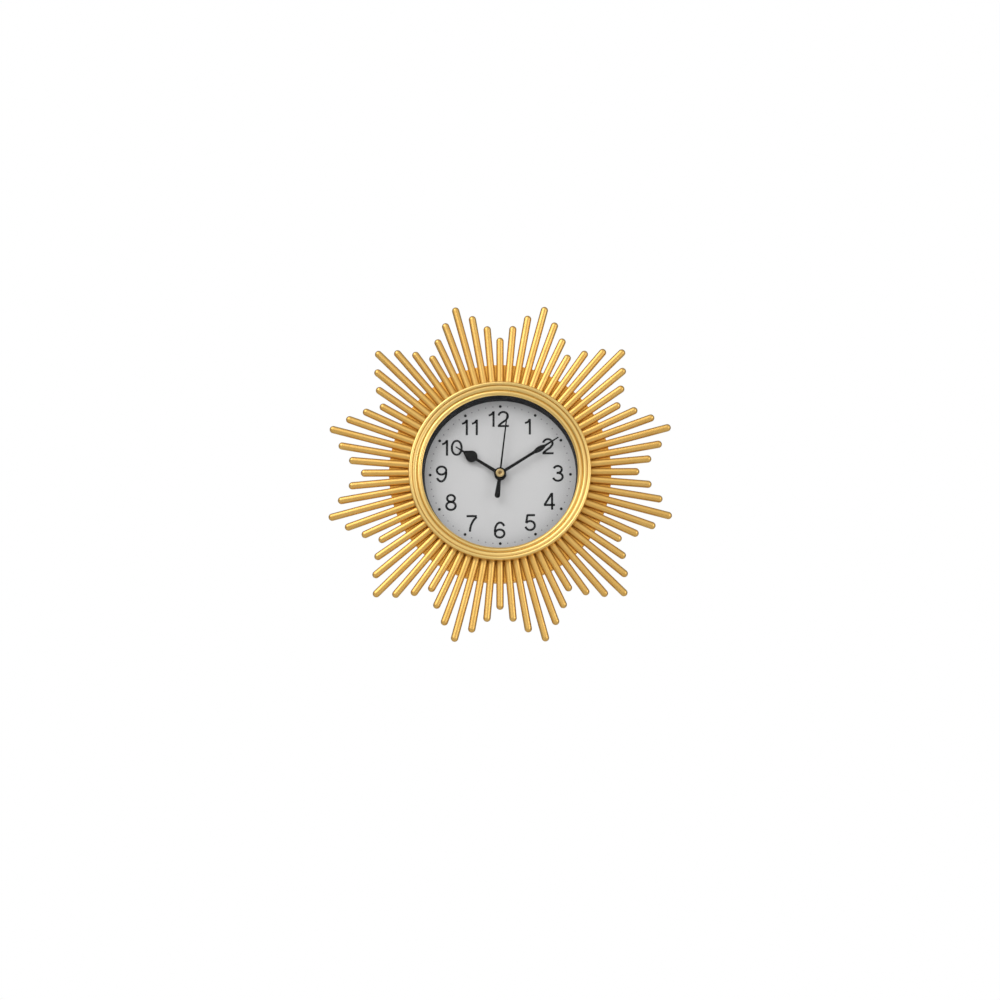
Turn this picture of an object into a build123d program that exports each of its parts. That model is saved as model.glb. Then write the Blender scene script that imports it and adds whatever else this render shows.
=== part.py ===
"""Sunburst wall clock: gilt ray frame, moulded bezel, dial, hands and a quartz movement.

Everything is laid out face up on its back: x to 3 o'clock, y to 12 o'clock, z out of the wall towards
the viewer, with the hand arbor on the z axis and the wall at z = 0. The finished pieces are then stood
up, so that 12 o'clock is +Z and the dial faces -Y. Millimetres throughout.
"""

import os
from math import cos, degrees, pi, radians, sin

from build123d import *

# ---- Driving dimensions ------------------------------------------------------------------------

# Sunburst frame
tip_r_longest = 127.0      # hand arbor to the tip of the longest rays: 10 inches from tip to tip
tip_r_shortest = 99.9
ray_count = 72             # a multiple of 12, so that the rays repeat at each hour
ray_root_gap = 0.2         # left between neighbouring rays where they start
disc_lip = 16.7            # the backing disc reaches this far past the ray roots
disc_below_axis = 1.2      # the disc's face lies this far behind the ray axes
glue_gap = 0.05

# Front opening
lip_r = 55.8               # clear radius inside the bezel
bezel_foot_cover = 2.3     # the bezel covers this much of each ray root
bezel_skirt = 1.5          # wall of the skirt
bezel_rise = 4.75          # crest of the outer bead above the lens
bead_width = 2.8
bead_drop = 1.0            # inner foot of the outer bead below its crest
bead_groove = 0.35         # width of the line between the outer bead and the band
band_width = 2.9
band_drop = 1.9
groove_width = 0.5
groove_drop = 0.9
inner_bead_width = 3.0
bezel_lip_rise = 0.5       # front of the lip above the lens
lens_t = 2.0
lens_seat = 2.9            # the lens reaches this far under the bezel's lip
lens_edge = 0.3
dial_to_lens = 10.0
dial_to_rays = 7.8         # dial face to the plane of the ray axes
spacer_top_wall = 2.9
spacer_foot_wall = 4.2

# Dial
dial_plate_t = 1.8
dial_face_t = 0.2
dial_seat = 2.3            # how far the dial's edge runs under the bezel skirt

# Rear case
case_wall = 2.5
case_edge = 1.5            # chamfer round the back edge of the drum
case_ledge = 4.0           # inward ledge that carries the dial plate
case_ledge_t = 2.0
case_flange = 11.0
case_flange_t = 2.2
back_plate_t = 2.0
back_seat = 5.0            # inward step in the drum that the back plate is screwed to
back_seat_t = 3.0
back_screw_count = 4
back_screw_r = 1.2
back_screw_head_r = 2.3
window_gap = 1.2           # round the movement
case_screw_count = 6
screw_shank_r = 1.4
screw_head_r = 2.8
screw_head_h = 1.6
screw_grip = 4.0           # depth of thread in the backing disc
screw_head_round = 0.72
screw_slot = 0.6           # width of the cross recess
recess_share = 0.6         # length of its arms, as a share of the head's radius
keyhole_r = 4.5
keyhole_slot_r = 2.5
keyhole_rise = 7.5
keyhole_above_window = 18.0

# Movement body
movement_to_wall = 1.2
movement_top = 20.0        # above the hand arbor
movement_wall = 1.2
movement_corner_r = 1.0
bridge_x = (-17.6, 22.0)   # the bridge's two ends
bridge_below = 2.5         # its lower edge above the train room's floor
bridge_above = 1.5         # its upper edge below the case wall
bridge_corner_r = 2.0
bridge_post_r = 1.4
bridge_post_inset = 2.2
bridge_screw_r = 0.7
bridge_screw_length = 3.0
bridge_head_r = 1.3
bridge_head_h = 0.7
boss_r = 1.5               # round each train pivot
pivot_depth = 1.5
pivot_end_gap = 0.3
setting_boss_r = 2.2
setting_boss_h = 1.0
battery_r = 7.25
battery_length = 50.5
battery_side_gap = 0.9
battery_rear_gap = 0.2
battery_front_gap = 0.4
battery_shift = 0.35       # towards the positive end, which has the flatter spring
battery_edge = 0.6
bay_front_wall = 0.9
nub_r = 2.75
nub_h = 1.3
contact_room = 1.55        # at each end of the cell
contact_t = 0.4
contact_half_width = 5.0
contact_margin = 0.6       # between a contact's ends and the bay
contact_flat = 1.5         # flat end of a contact, past its bow

# Bushing, nut and washers
bushing_wall = 0.72
bushing_above_dial = 2.6
rubber_washer_t = 0.8
rubber_washer_r = 9.0
flat_washer_t = 0.4
flat_washer_width = 1.0
nut_wall = 0.4             # at the middle of a flat
nut_t = 1.8
nut_ease = 0.5             # chamfer on the nut's outer corners

# Hand arbors and hands, with heights above the dial
hour_tube_r = 2.5
minute_tube_r = 1.6
seconds_arbor_r = 0.5
hour_hand_z = 2.8
minute_hand_z = 4.5
second_hand_z = 5.9
hand_t = 0.5
second_hand_t = 0.3
tube_past_hand = 0.3       # each tube stands this far through its hand
cap_r = 3.1
cap_h = 0.8
cap_round = 0.56
cap_dimple_r = 1.5         # ball that makes the dimple
cap_dimple_depth = 0.6
hour_hand_angle = 302.1    # clockwise from 12 in the rest pose
minute_hand_angle = 57.8
second_hand_angle = 6.7
hour_hub_width = 1.7       # round the hour tube
hour_hand_length = 37.9
hour_hand_stem = (2.5, 1.9)     # widths at the hub and at the spade
hour_needle = (2.0, 0.8)        # widths of the thin end, at the spade and at the tip
spade_at = 24.3
spade_r = 4.3
spade_point = 6.4          # from the spade's centre to where it meets the needle
minute_hub_r = 4.4
minute_hand_length = 49.6
minute_hand_stem = (2.2, 1.9)
minute_needle = (2.3, 0.8)      # widths under the leaf and at the tip
leaf_ends = (27.3, 39.6)
leaf_width = 4.0
spade_neck = 0.35          # where the spade's straight sides leave its round, and how wide, in its radii
spade_neck_width = 1.86
second_hub_r = 2.2
second_collar_r = 0.95
second_collar_h = 0.3
second_hand_length = 43.7
second_hand_blade = (1.35, 0.95)     # widths at the hub and at the end
second_hand_tail = 18.4
second_tail_neck = 1.6
second_tail_end_r = 2.0

# Gear train: tooth counts, centre distances and directions from the hand arbor
wheel_t = 0.8
wheel_gap = 0.4            # clear height between neighbouring wheels
pinion_past_wheel = 0.15   # a pinion stands this far past the wheel that it drives
seconds_to_third = 10.8
third_direction = 45.0     # anticlockwise from 3 o'clock
seconds_to_intermediate = 8.0
intermediate_direction = 160.0
intermediate_to_rotor = 7.48
minute_wheel_distance = 9.0
minute_wheel_direction = 300.0
setting_distance = 9.0     # minute wheel to setting pinion
train_arbor_r = 0.5
setting_arbor_r = 1.2
setting_knob_r = 5.5
setting_knob_h = 2.6
flute_count = 24
flute_r = 0.5
flute_out = 0.1            # a flute's centre lies this far past the knob's rim
knob_socket = 1.0          # the knob grips this much of its arbor
well_gap = 0.8             # round the knob
well_wall = 0.8
lightening_at = 0.55       # centre and radius of a wheel's round holes, as shares of its pitch radius
lightening_r = 0.22
rotor_pinion_teeth = 8
intermediate_teeth = 60
intermediate_pinion_teeth = 8
seconds_teeth = 32
seconds_pinion_teeth = 8
third_teeth = 64
third_pinion_teeth = 8
centre_teeth = 60
cannon_teeth = 12
minute_teeth = 36
minute_pinion_teeth = 10
hour_teeth = 40
setting_teeth = 12

# Motor and circuit
magnet_r = 2.6
magnet_t = 1.8
rotor_air_gap = 0.5
stator_t = 1.0
stator_arm = 3.0
stator_rim = 2.0           # round the rotor's hole
stator_flat = 1.5          # cut off the rim on the coil's side
coil_r = 3.2
coil_length = 17.0
coil_offset = 7.8          # rotor axis to coil axis
core_half_width = 1.4
bobbin_wall = 0.5
bobbin_flange_t = 0.8
bobbin_rim = 0.4           # the flanges stand this far past the winding
board_t = 1.0
board_end = -5.0
chip_r = 2.2
chip_h = 0.9
chip_round = 0.7
chip_from_edge = 5.5
crystal_r = 1.0
crystal_length = 6.0
crystal_from_edge = 1.5

# Fits, radial unless said otherwise
running_gap = 0.05         # a shaft that turns in its bore
tube_gap = 0.08            # one hand tube turning in the next
snug_gap = 0.02            # pressed and threaded fits, drawn as a hair of clearance
case_gap = 0.2             # between housings that drop together

# ---- Heights and radii that follow ---------------------------------------------------------------

bay_depth = battery_rear_gap + 2 * battery_r + battery_front_gap + bay_front_wall
train_depth = (2 * movement_wall + pivot_depth + case_gap + 7 * (wheel_t + wheel_gap)
               + wheel_gap + magnet_t)
movement_depth = max(bay_depth, train_depth)
movement_half_width = battery_length / 2 + contact_room + movement_wall
movement_front = movement_to_wall + movement_depth
dial_plate_z = movement_front + rubber_washer_t
dial_z = dial_plate_z + dial_plate_t + dial_face_t   # front of the dial, and the rear of the frame
ray_axis_z = dial_z + dial_to_rays
lens_z = dial_z + dial_to_lens
lip_z = lens_z + lens_t

skirt_in_r = lip_r + lens_seat + case_gap
dial_r = skirt_in_r + dial_seat
skirt_out_r = dial_r + case_gap + bezel_skirt
ray_root_r = skirt_out_r + case_gap
ray_half_pitch = radians(180 / ray_count)
ray_r = ray_root_r * sin(ray_half_pitch) - ray_root_gap / 2
bezel_r = ray_root_r + bezel_foot_cover
disc_r = ray_root_r + disc_lip
disc_front_z = ray_axis_z - disc_below_axis
foot_z = ray_axis_z + ray_r + case_gap

case_in_r = dial_r + case_gap
case_out_r = case_in_r + case_wall
flange_r = case_out_r + case_flange
screw_circle_r = case_out_r + case_flange / 2

battery_z = movement_to_wall + battery_rear_gap + battery_r
bay_half_height = battery_r + battery_side_gap
train_top = movement_front - movement_wall

bushing_r = hour_tube_r + tube_gap + bushing_wall
flat_washer_r = bushing_r + flat_washer_width
nut_across_flats = 2 * (bushing_r + nut_wall)
hour_hub_r = hour_tube_r + hour_hub_width
hour_hand_base = dial_z + hour_hand_z
minute_hand_base = dial_z + minute_hand_z
second_hand_base = dial_z + second_hand_z


def below(level, thickness):
    """The next level down the gear train, a wheel gap behind the one given."""
    top = level[0] - wheel_gap
    return top - thickness, top


hour_level = below((train_top, train_top), wheel_t)
minute_level = below(hour_level, wheel_t)
centre_level = below(minute_level, wheel_t)
bridge_level = below(centre_level, wheel_t)
third_level = below(bridge_level, wheel_t)
seconds_level = below(third_level, wheel_t)
intermediate_level = below(seconds_level, wheel_t)
magnet_level = below(intermediate_level, magnet_t)
magnet_middle = sum(magnet_level) / 2
stator_level = (magnet_middle - stator_t / 2, magnet_middle + stator_t / 2)
core_level = (stator_level[1], stator_level[1] + stator_t)
cover_level = (movement_to_wall, movement_to_wall + movement_wall)
rear_pivot_z = cover_level[1] + pivot_end_gap


def polar(distance, direction, start=(0.0, 0.0)):
    """A point at a distance and direction (degrees anticlockwise from 3 o'clock) from another."""
    angle = radians(direction)
    return start[0] + distance * cos(angle), start[1] + distance * sin(angle)


arbor_at = (0.0, 0.0)
third_at = polar(seconds_to_third, third_direction)
intermediate_at = polar(seconds_to_intermediate, intermediate_direction)
rotor_at = polar(intermediate_to_rotor, 180.0, intermediate_at)
minute_at = polar(minute_wheel_distance, minute_wheel_direction)
setting_at = polar(setting_distance, 0.0, minute_at)
coil_at = (rotor_at[0] - coil_offset, rotor_at[1])

bay_top = -(movement_top - 2 * movement_wall) - case_gap   # the train's room and the battery bay meet here
bay_middle = bay_top - bay_half_height
movement_bottom = bay_middle - bay_half_height - movement_wall


# ---- Small makers --------------------------------------------------------------------------------

def rod(r, z0, z1, at=(0.0, 0.0)):
    """A round bar from z0 to z1."""
    return Pos(at[0], at[1], z0) * Cylinder(r, z1 - z0, align=(Align.CENTER, Align.CENTER, Align.MIN))


def sleeve(r_out, r_in, z0, z1, at=(0.0, 0.0)):
    """A round tube from z0 to z1."""
    return rod(r_out, z0, z1, at) - rod(r_in, z0, z1, at)


def block(x0, x1, y0, y1, z0, z1):
    """A rectangular block between two corners."""
    return Pos(x0, y0, z0) * Box(x1 - x0, y1 - y0, z1 - z0, align=(Align.MIN, Align.MIN, Align.MIN))


def turned(*edges):
    """A lathe piece: a closed outline in (radius, height), turned about the arbor."""
    return revolve(Plane.XZ * make_face(list(edges)), Axis.Z)


def turned_polygon(*points):
    """A lathe piece with straight sides only."""
    return turned(Polyline(*points, close=True))


def plate(sketch, z0, thickness):
    """A flat stamping of a sketch, with its back at z0."""
    return Pos(0, 0, z0) * extrude(sketch, thickness)


def around(count, start=0.0):
    """The turns that repeat a piece evenly about the arbor."""
    return [Rot(0, 0, start + 360 * i / count) for i in range(count)]


# ---- Gears ---------------------------------------------------------------------------------------
# Straight-flanked clock teeth, thinned for play. Widths are shares of the circular pitch, and the
# tooth's height above and depth below the pitch circle are in modules.

WHEEL_TOOTH = {"root": 0.50, "pitch": 0.40, "tip": 0.16, "above": 0.75, "depth": 1.00}
PINION_TOOTH = {"root": 0.34, "pitch": 0.38, "tip": 0.14, "above": 0.75, "depth": 1.05}


def module_of(distance, teeth_a, teeth_b):
    """The module that puts two meshed gears at this centre distance."""
    return 2 * distance / (teeth_a + teeth_b)


def toothed(teeth, module, tooth, level, at, first_tooth):
    """A solid toothed disc; first_tooth is the direction of one tooth, in degrees."""
    pitch_r = teeth * module / 2
    stations = [(pitch_r - tooth["depth"] * module, tooth["root"]), (pitch_r, tooth["pitch"]),
                (pitch_r + tooth["above"] * module, tooth["tip"])]
    flank = [(r, share * pi * module / 2 / r) for r, share in stations]
    outline = []
    for i in range(teeth):
        middle = radians(first_tooth) + 2 * pi * i / teeth
        for r, half in flank:
            outline.append(polar(r, degrees(middle - half), at))
        for r, half in reversed(flank):
            outline.append(polar(r, degrees(middle + half), at))
    return plate(make_face(Polyline(*outline, close=True)), level[0], level[1] - level[0])


def meshed(first_tooth, teeth, other_teeth, direction):
    """Where one tooth of a gear points when it meshes with another that lies in this direction
    from it: teeth and first_tooth are the other gear's, other_teeth are its own."""
    away = direction + 180
    return direction + 180 / other_teeth - (first_tooth - away) * teeth / other_teeth


def past(level, extra=None):
    """A level widened on both sides, for a pinion that overhangs its wheel."""
    extra = pinion_past_wheel if extra is None else extra
    return level[0] - extra, level[1] + extra


module_rotor = module_of(intermediate_to_rotor, rotor_pinion_teeth, intermediate_teeth)
module_seconds = module_of(seconds_to_intermediate, intermediate_pinion_teeth, seconds_teeth)
module_third = module_of(seconds_to_third, seconds_pinion_teeth, third_teeth)
module_centre = module_of(seconds_to_third, third_pinion_teeth, centre_teeth)
module_minute = module_of(minute_wheel_distance, cannon_teeth, minute_teeth)
module_hour = module_of(minute_wheel_distance, minute_pinion_teeth, hour_teeth)

# One tooth's direction on each gear at rest: where a drive starts it is free, and then each follows.
seconds_wheel_tooth = 0.0
seconds_pinion_tooth = third_direction
third_tooth = meshed(seconds_pinion_tooth, seconds_pinion_teeth, third_teeth, third_direction + 180)
centre_tooth = 0.0
third_pinion_tooth = meshed(centre_tooth, centre_teeth, third_pinion_teeth, third_direction + 180)
intermediate_pinion_tooth = meshed(seconds_wheel_tooth, seconds_teeth, intermediate_pinion_teeth,
                                   intermediate_direction + 180)
intermediate_tooth = 0.0
rotor_tooth = meshed(intermediate_tooth, intermediate_teeth, rotor_pinion_teeth, 0.0)
cannon_tooth = minute_wheel_direction
minute_tooth = meshed(cannon_tooth, cannon_teeth, minute_teeth, minute_wheel_direction + 180)
setting_tooth = meshed(minute_tooth, minute_teeth, setting_teeth, 180.0)
hour_tooth = 0.0
minute_pinion_tooth = meshed(hour_tooth, hour_teeth, minute_pinion_teeth, minute_wheel_direction + 180)


# ---- Sunburst frame ------------------------------------------------------------------------------

rays_an_hour = ray_count // 12
ray_classes = rays_an_hour // 2 + 1    # lengths from an hour mark to half way to the next


def ray_class(index):
    """0 for the shortest rays, at the hour marks, up to the longest, half way between them."""
    return min(index % rays_an_hour, rays_an_hour - index % rays_an_hour)


def ray_blank(r, root_r, tip_r):
    """A round ray pointing at 12 o'clock, flat at its root and half a ball at its tip."""
    shoulder = tip_r - r
    half = [Line((0, root_r), (r, root_r)), Line((r, root_r), (r, shoulder)),
            RadiusArc((r, shoulder), (0, tip_r), -r), Line((0, tip_r), (0, root_r))]
    return Pos(0, 0, ray_axis_z) * revolve(make_face(half), Axis.Y)


def rays(which):
    """All rays of one length, as separate bars."""
    step = (tip_r_longest - tip_r_shortest) / (ray_classes - 1)
    blank = ray_blank(ray_r, ray_root_r, tip_r_shortest + which * step)
    return [turn * blank for i, turn in enumerate(around(ray_count)) if ray_class(i) == which]


def backing_disc():
    """The disc behind the rays, with a groove for each and pilot holes for the case screws."""
    disc = sleeve(disc_r, skirt_out_r + glue_gap, dial_z, disc_front_z)
    groove = Pos(0, ray_root_r - glue_gap, ray_axis_z) * Rot(-90, 0, 0) * Cylinder(
        ray_r + glue_gap, disc_r - ray_root_r + 1, align=(Align.CENTER, Align.CENTER, Align.MIN))
    pilot = rod(screw_shank_r + snug_gap, dial_z, dial_z + screw_grip, (0, screw_circle_r))
    cutters = [turn * groove for turn in around(ray_count)]
    return disc - cutters - [turn * pilot for turn in screw_spots()]


def bezel_ring():
    """The moulded ring: outer bead, sloping band, groove, inner bead and lip, on a plain skirt."""
    bead_in = bezel_r - bead_width
    band_out = bead_in - bead_groove
    band_in = bead_in - band_width
    groove_in = band_in - groove_width
    inner_bead_in = groove_in - inner_bead_width
    crest_z = lip_z + bezel_rise
    bead_z = crest_z - bead_drop
    line_z = bead_z - bead_groove
    band_z = bead_z - band_drop
    groove_z = band_z - groove_drop
    inner_z = lip_z + bezel_lip_rise
    ease = bead_groove / 2
    return turned(
        Polyline((skirt_in_r, dial_z), (skirt_out_r, dial_z), (skirt_out_r, foot_z), (bezel_r, foot_z),
                 (bezel_r, bead_z - ease)),
        ThreePointArc((bezel_r, bead_z - ease), (bezel_r - bead_width / 2, crest_z), (bead_in, bead_z)),
        Polyline((bead_in, bead_z), (bead_in - ease, line_z), (band_out, bead_z - ease)),
        ThreePointArc((band_out, bead_z - ease), ((band_out + band_in) / 2, bead_z - band_drop / 3),
                      (band_in, band_z)),
        Polyline((band_in, band_z), (band_in - ease, groove_z), (groove_in, groove_z)),
        ThreePointArc((groove_in, groove_z), (groove_in - inner_bead_width / 2, groove_z + groove_drop),
                      (inner_bead_in, inner_z + ease)),
        Polyline((inner_bead_in, inner_z + ease), (lip_r + ease, inner_z), (lip_r, inner_z - ease),
                 (lip_r, lip_z), (skirt_in_r, lip_z), (skirt_in_r, dial_z)),
    )


def lens():
    """The flat glass under the bezel's lip, with eased edges."""
    glass = rod(lip_r + lens_seat, lens_z, lens_z + lens_t)
    return chamfer(glass.edges().filter_by(GeomType.CIRCLE), lens_edge)


def spacer_ring():
    """The black ring that stands on the dial and holds the glass forward."""
    r_out = lip_r + lens_seat
    return turned_polygon((r_out, dial_z), (r_out, lens_z), (r_out - spacer_top_wall, lens_z),
                          (r_out - spacer_foot_wall, dial_z))


def dial_plate():
    return sleeve(dial_r, bushing_r + case_gap, dial_plate_z, dial_plate_z + dial_plate_t)


def dial_face():
    return sleeve(dial_r, bushing_r + case_gap, dial_z - dial_face_t, dial_z)


# ---- Rear case -----------------------------------------------------------------------------------

keyhole_y = movement_top + window_gap + keyhole_above_window


back_screw_at = (0, case_in_r - back_seat / 2)


def screw_spots():
    return around(case_screw_count, 180 / case_screw_count)


def back_screw_spots():
    return around(back_screw_count, 180 / back_screw_count)


def rear_case():
    """The drum behind the dial: a step for the back plate, wall, ledge for the dial, and flange."""
    ledge_top = dial_plate_z
    ledge_r = case_in_r - case_ledge
    seat_r = case_in_r - back_seat
    seat_top = back_plate_t + back_seat_t
    drum = turned_polygon(
        (case_in_r, 0), (case_out_r - case_edge, 0), (case_out_r, case_edge),
        (case_out_r, dial_z - case_flange_t), (flange_r, dial_z - case_flange_t), (flange_r, dial_z),
        (case_in_r, dial_z), (case_in_r, ledge_top), (ledge_r, ledge_top),
        (ledge_r, ledge_top - case_ledge_t),
        (case_in_r, ledge_top - case_ledge_t - case_ledge), (case_in_r, seat_top), (seat_r, seat_top),
        (seat_r, back_plate_t), (case_in_r, back_plate_t))
    hole = rod(screw_shank_r + case_gap, dial_z - case_flange_t, dial_z, (0, screw_circle_r))
    pilot = rod(back_screw_r + snug_gap, back_plate_t, seat_top, back_screw_at)
    return drum - [turn * hole for turn in screw_spots()] - [turn * pilot for turn in back_screw_spots()]


def countersink(gap):
    """A screw's cone, flush with the back, widened by a gap for the hole that takes it."""
    depth = back_screw_head_r - back_screw_r
    return Pos(*back_screw_at, 0) * Cone(back_screw_head_r + gap, back_screw_r + gap, depth,
                                         align=(Align.CENTER, Align.CENTER, Align.MIN))


def back_plate():
    """The flat back, with the movement's window and the keyhole that the clock hangs by."""
    window = block(-movement_half_width - window_gap, movement_half_width + window_gap,
                   movement_bottom - window_gap, movement_top + window_gap, 0, back_plate_t)
    keyhole = rod(keyhole_r, 0, back_plate_t, (0, keyhole_y))
    slot_top = keyhole_y + keyhole_rise
    slot = block(-keyhole_slot_r, keyhole_slot_r, keyhole_y, slot_top, 0, back_plate_t)
    slot_end = rod(keyhole_slot_r, 0, back_plate_t, (0, slot_top))
    hole = rod(back_screw_r + case_gap, 0, back_plate_t, back_screw_at) + countersink(case_gap)
    plain = rod(case_in_r - case_gap, 0, back_plate_t)
    return plain - [window, keyhole, slot, slot_end] - [turn * hole for turn in back_screw_spots()]


def cross_recess(head_r, head_z, depth):
    """A cross cut from the back into a screw's head."""
    arm = head_r * recess_share
    cut = block(-arm, arm, -screw_slot / 2, screw_slot / 2, head_z, head_z + depth)
    return [cut, Rot(0, 0, 90) * cut]


def back_plate_screws():
    """Countersunk screws through the back plate into the drum's step."""
    shank = rod(back_screw_r, 0, back_plate_t + back_seat_t - case_gap, back_screw_at)
    recess = [Pos(*back_screw_at, 0) * cut for cut in cross_recess(back_screw_head_r, 0, screw_slot)]
    return [turn * (shank + countersink(0) - recess) for turn in back_screw_spots()]


def case_screws():
    """Pan-head screws through the flange into the backing disc."""
    seat_z = dial_z - case_flange_t
    head_z = seat_z - screw_head_h
    shank = rod(screw_shank_r, seat_z, dial_z + screw_grip - case_gap)
    head = rod(screw_head_r, head_z, seat_z)
    head = fillet(head.edges().group_by(Axis.Z)[0], screw_head_round)
    recess = cross_recess(screw_head_r, head_z, screw_head_h / 2)
    screw = Pos(0, screw_circle_r, 0) * (head + shank - recess)
    return [turn * screw for turn in screw_spots()]


# ---- Movement ------------------------------------------------------------------------------------

half_in = movement_half_width - movement_wall
train_floor_y = bay_top + movement_wall
bridge_y = (train_floor_y + bridge_below, movement_top - movement_wall - bridge_above)
well_r = setting_knob_r + well_gap
knob_top = movement_to_wall + setting_knob_h
well_z = knob_top + case_gap


def bridge_posts():
    """Centres of the posts that carry the bridge."""
    inset = bridge_post_inset
    return [(x, y) for x in (bridge_x[0] + inset, bridge_x[1] - inset)
            for y in (bridge_y[0] + inset, bridge_y[1] - inset)]


def movement_case():
    """The black box: a room for the train, open to the rear, and a bay for the battery."""
    body = block(-movement_half_width, movement_half_width, movement_bottom, movement_top,
                 movement_to_wall, movement_front)
    body = fillet(body.edges().filter_by(Axis.Z), movement_corner_r)
    room = block(-half_in, half_in, train_floor_y, movement_top - movement_wall,
                 movement_to_wall, train_top)
    bay = block(-half_in, half_in, bay_middle - bay_half_height, bay_middle + bay_half_height,
                movement_to_wall, movement_front - bay_front_wall)
    body = body - room - bay - rod(bushing_r + snug_gap, train_top, movement_front)
    body += [sleeve(bridge_post_r, bridge_screw_r, bridge_level[1], train_top, at)
             for at in bridge_posts()]
    body += sleeve(boss_r, train_arbor_r + running_gap, train_top - pivot_depth, train_top, third_at)
    body += sleeve(setting_boss_r, setting_arbor_r + running_gap, train_top - setting_boss_h, train_top,
                   setting_at)
    return body + rod(train_arbor_r, minute_level[0] - case_gap, train_top, minute_at)


def movement_cover():
    """The rear lid over the train, with pivot bosses and a well for the setting knob."""
    lid = block(-half_in + snug_gap, half_in - snug_gap, train_floor_y + snug_gap,
                movement_top - movement_wall - snug_gap, cover_level[0], cover_level[1])
    lid += rod(well_r + well_wall, cover_level[0], well_z + well_wall, setting_at)
    lid -= rod(well_r, cover_level[0], well_z, setting_at)
    lid -= rod(setting_arbor_r + running_gap, well_z, well_z + well_wall, setting_at)
    for at in (arbor_at, third_at, intermediate_at, rotor_at):
        lid += sleeve(boss_r, train_arbor_r + running_gap, cover_level[1], cover_level[1] + pivot_depth, at)
    return lid


def train_bridge():
    """The plate across the middle of the train, bored for every arbor that crosses it."""
    slab = block(*bridge_x, *bridge_y, *bridge_level)
    slab = fillet(slab.edges().filter_by(Axis.Z), bridge_corner_r)
    slab -= [rod(train_arbor_r + running_gap, *bridge_level, at)
             for at in (arbor_at, intermediate_at, rotor_at)]
    slab -= rod(third_pinion_teeth * module_centre / 2 + module_centre + case_gap, *bridge_level, third_at)
    slab -= rod(setting_arbor_r + case_gap, *bridge_level, setting_at)
    return slab - [rod(bridge_screw_r, *bridge_level, at) for at in bridge_posts()]


def bridge_screws():
    """Small screws that hold the bridge to its posts."""
    seat_z = bridge_level[0]
    return [rod(bridge_screw_r - snug_gap, seat_z, seat_z + bridge_screw_length, at)
            + rod(bridge_head_r, seat_z - bridge_head_h, seat_z, at) for at in bridge_posts()]


def threaded_bushing():
    return sleeve(bushing_r, hour_tube_r + tube_gap, train_top, dial_z + bushing_above_dial)


def rubber_washer():
    return sleeve(rubber_washer_r, bushing_r + case_gap, movement_front, dial_plate_z)


def flat_washer():
    return sleeve(flat_washer_r, bushing_r + case_gap, dial_z, dial_z + flat_washer_t)


def hex_nut():
    """The nut that clamps the movement to the dial, chamfered on its outer corners."""
    base = dial_z + flat_washer_t
    corner_r = nut_across_flats / 2 / cos(pi / 6)
    nut = plate(RegularPolygon(corner_r, 6), base, nut_t)
    ease = turned_polygon((0, base), (corner_r, base), (corner_r, base + nut_t - nut_ease),
                          (corner_r - nut_ease, base + nut_t), (0, base + nut_t))
    return (nut & ease) - rod(bushing_r + snug_gap, base, base + nut_t)


# ---- Motor and circuit ---------------------------------------------------------------------------

stator_hole_r = magnet_r + rotor_air_gap
lobe = stator_hole_r + stator_rim
arm_y = (rotor_at[1] - coil_length / 2 - stator_arm, rotor_at[1] + coil_length / 2)


def stator():
    """The iron plate round the rotor, with two arms that reach back to the coil's core."""
    x_core = coil_at[0] - core_half_width
    x_lobe = rotor_at[0] + lobe
    plate_z = stator_level
    body = block(rotor_at[0] - lobe + stator_flat, x_lobe, rotor_at[1] - lobe, rotor_at[1] + lobe,
                 *plate_z)
    for y in arm_y:
        body += block(x_core, x_lobe - stator_rim, y, y + stator_arm, *plate_z)
    for y0, y1 in ((arm_y[0] + stator_arm, rotor_at[1] - lobe), (rotor_at[1] + lobe, arm_y[1])):
        body += block(rotor_at[0] - stator_flat, x_lobe - stator_rim, y0, y1, *plate_z)
    return body - rod(stator_hole_r, *plate_z, rotor_at)


def coil_core():
    """The iron strip through the coil, lapped over the front of the stator's arms."""
    return block(coil_at[0] - core_half_width, coil_at[0] + core_half_width,
                 arm_y[0], arm_y[1] + stator_arm, *core_level)


def along_coil(r, y0, y1):
    """A round bar on the coil's own axis."""
    middle = sum(core_level) / 2
    return Pos(coil_at[0], y0, middle) * Rot(-90, 0, 0) * Cylinder(
        r, y1 - y0, align=(Align.CENTER, Align.CENTER, Align.MIN))


coil_y = (arm_y[0] + stator_arm + case_gap, arm_y[1] - case_gap)
bobbin_tube_r = core_half_width + bobbin_wall


def coil_bobbin():
    """A flanged reel that slips over the core."""
    reel = along_coil(bobbin_tube_r, *coil_y)
    reel += along_coil(coil_r, coil_y[0], coil_y[0] + bobbin_flange_t)
    reel += along_coil(coil_r, coil_y[1] - bobbin_flange_t, coil_y[1])
    reach = core_half_width + snug_gap
    return reel - block(coil_at[0] - reach, coil_at[0] + reach, *coil_y,
                        core_level[0] - snug_gap, core_level[1] + snug_gap)


def coil_winding():
    """The copper winding, drawn as one sleeve."""
    ends = (coil_y[0] + bobbin_flange_t, coil_y[1] - bobbin_flange_t)
    return along_coil(coil_r - bobbin_rim, *ends) - along_coil(bobbin_tube_r + snug_gap, *ends)


board_x = (-half_in + case_gap, board_end)
board_y = (train_floor_y + case_gap, arm_y[0] - case_gap)
board_level = (stator_level[1] - board_t, stator_level[1])


def circuit_board():
    return block(*board_x, *board_y, *board_level)


def circuit_chip():
    """The sealed drop of resin over the bare chip."""
    at = (board_x[0] + chip_from_edge, sum(board_y) / 2)
    drop = rod(chip_r, board_level[0] - chip_h, board_level[0], at)
    return fillet(drop.edges().group_by(Axis.Z)[0], chip_round)


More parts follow.
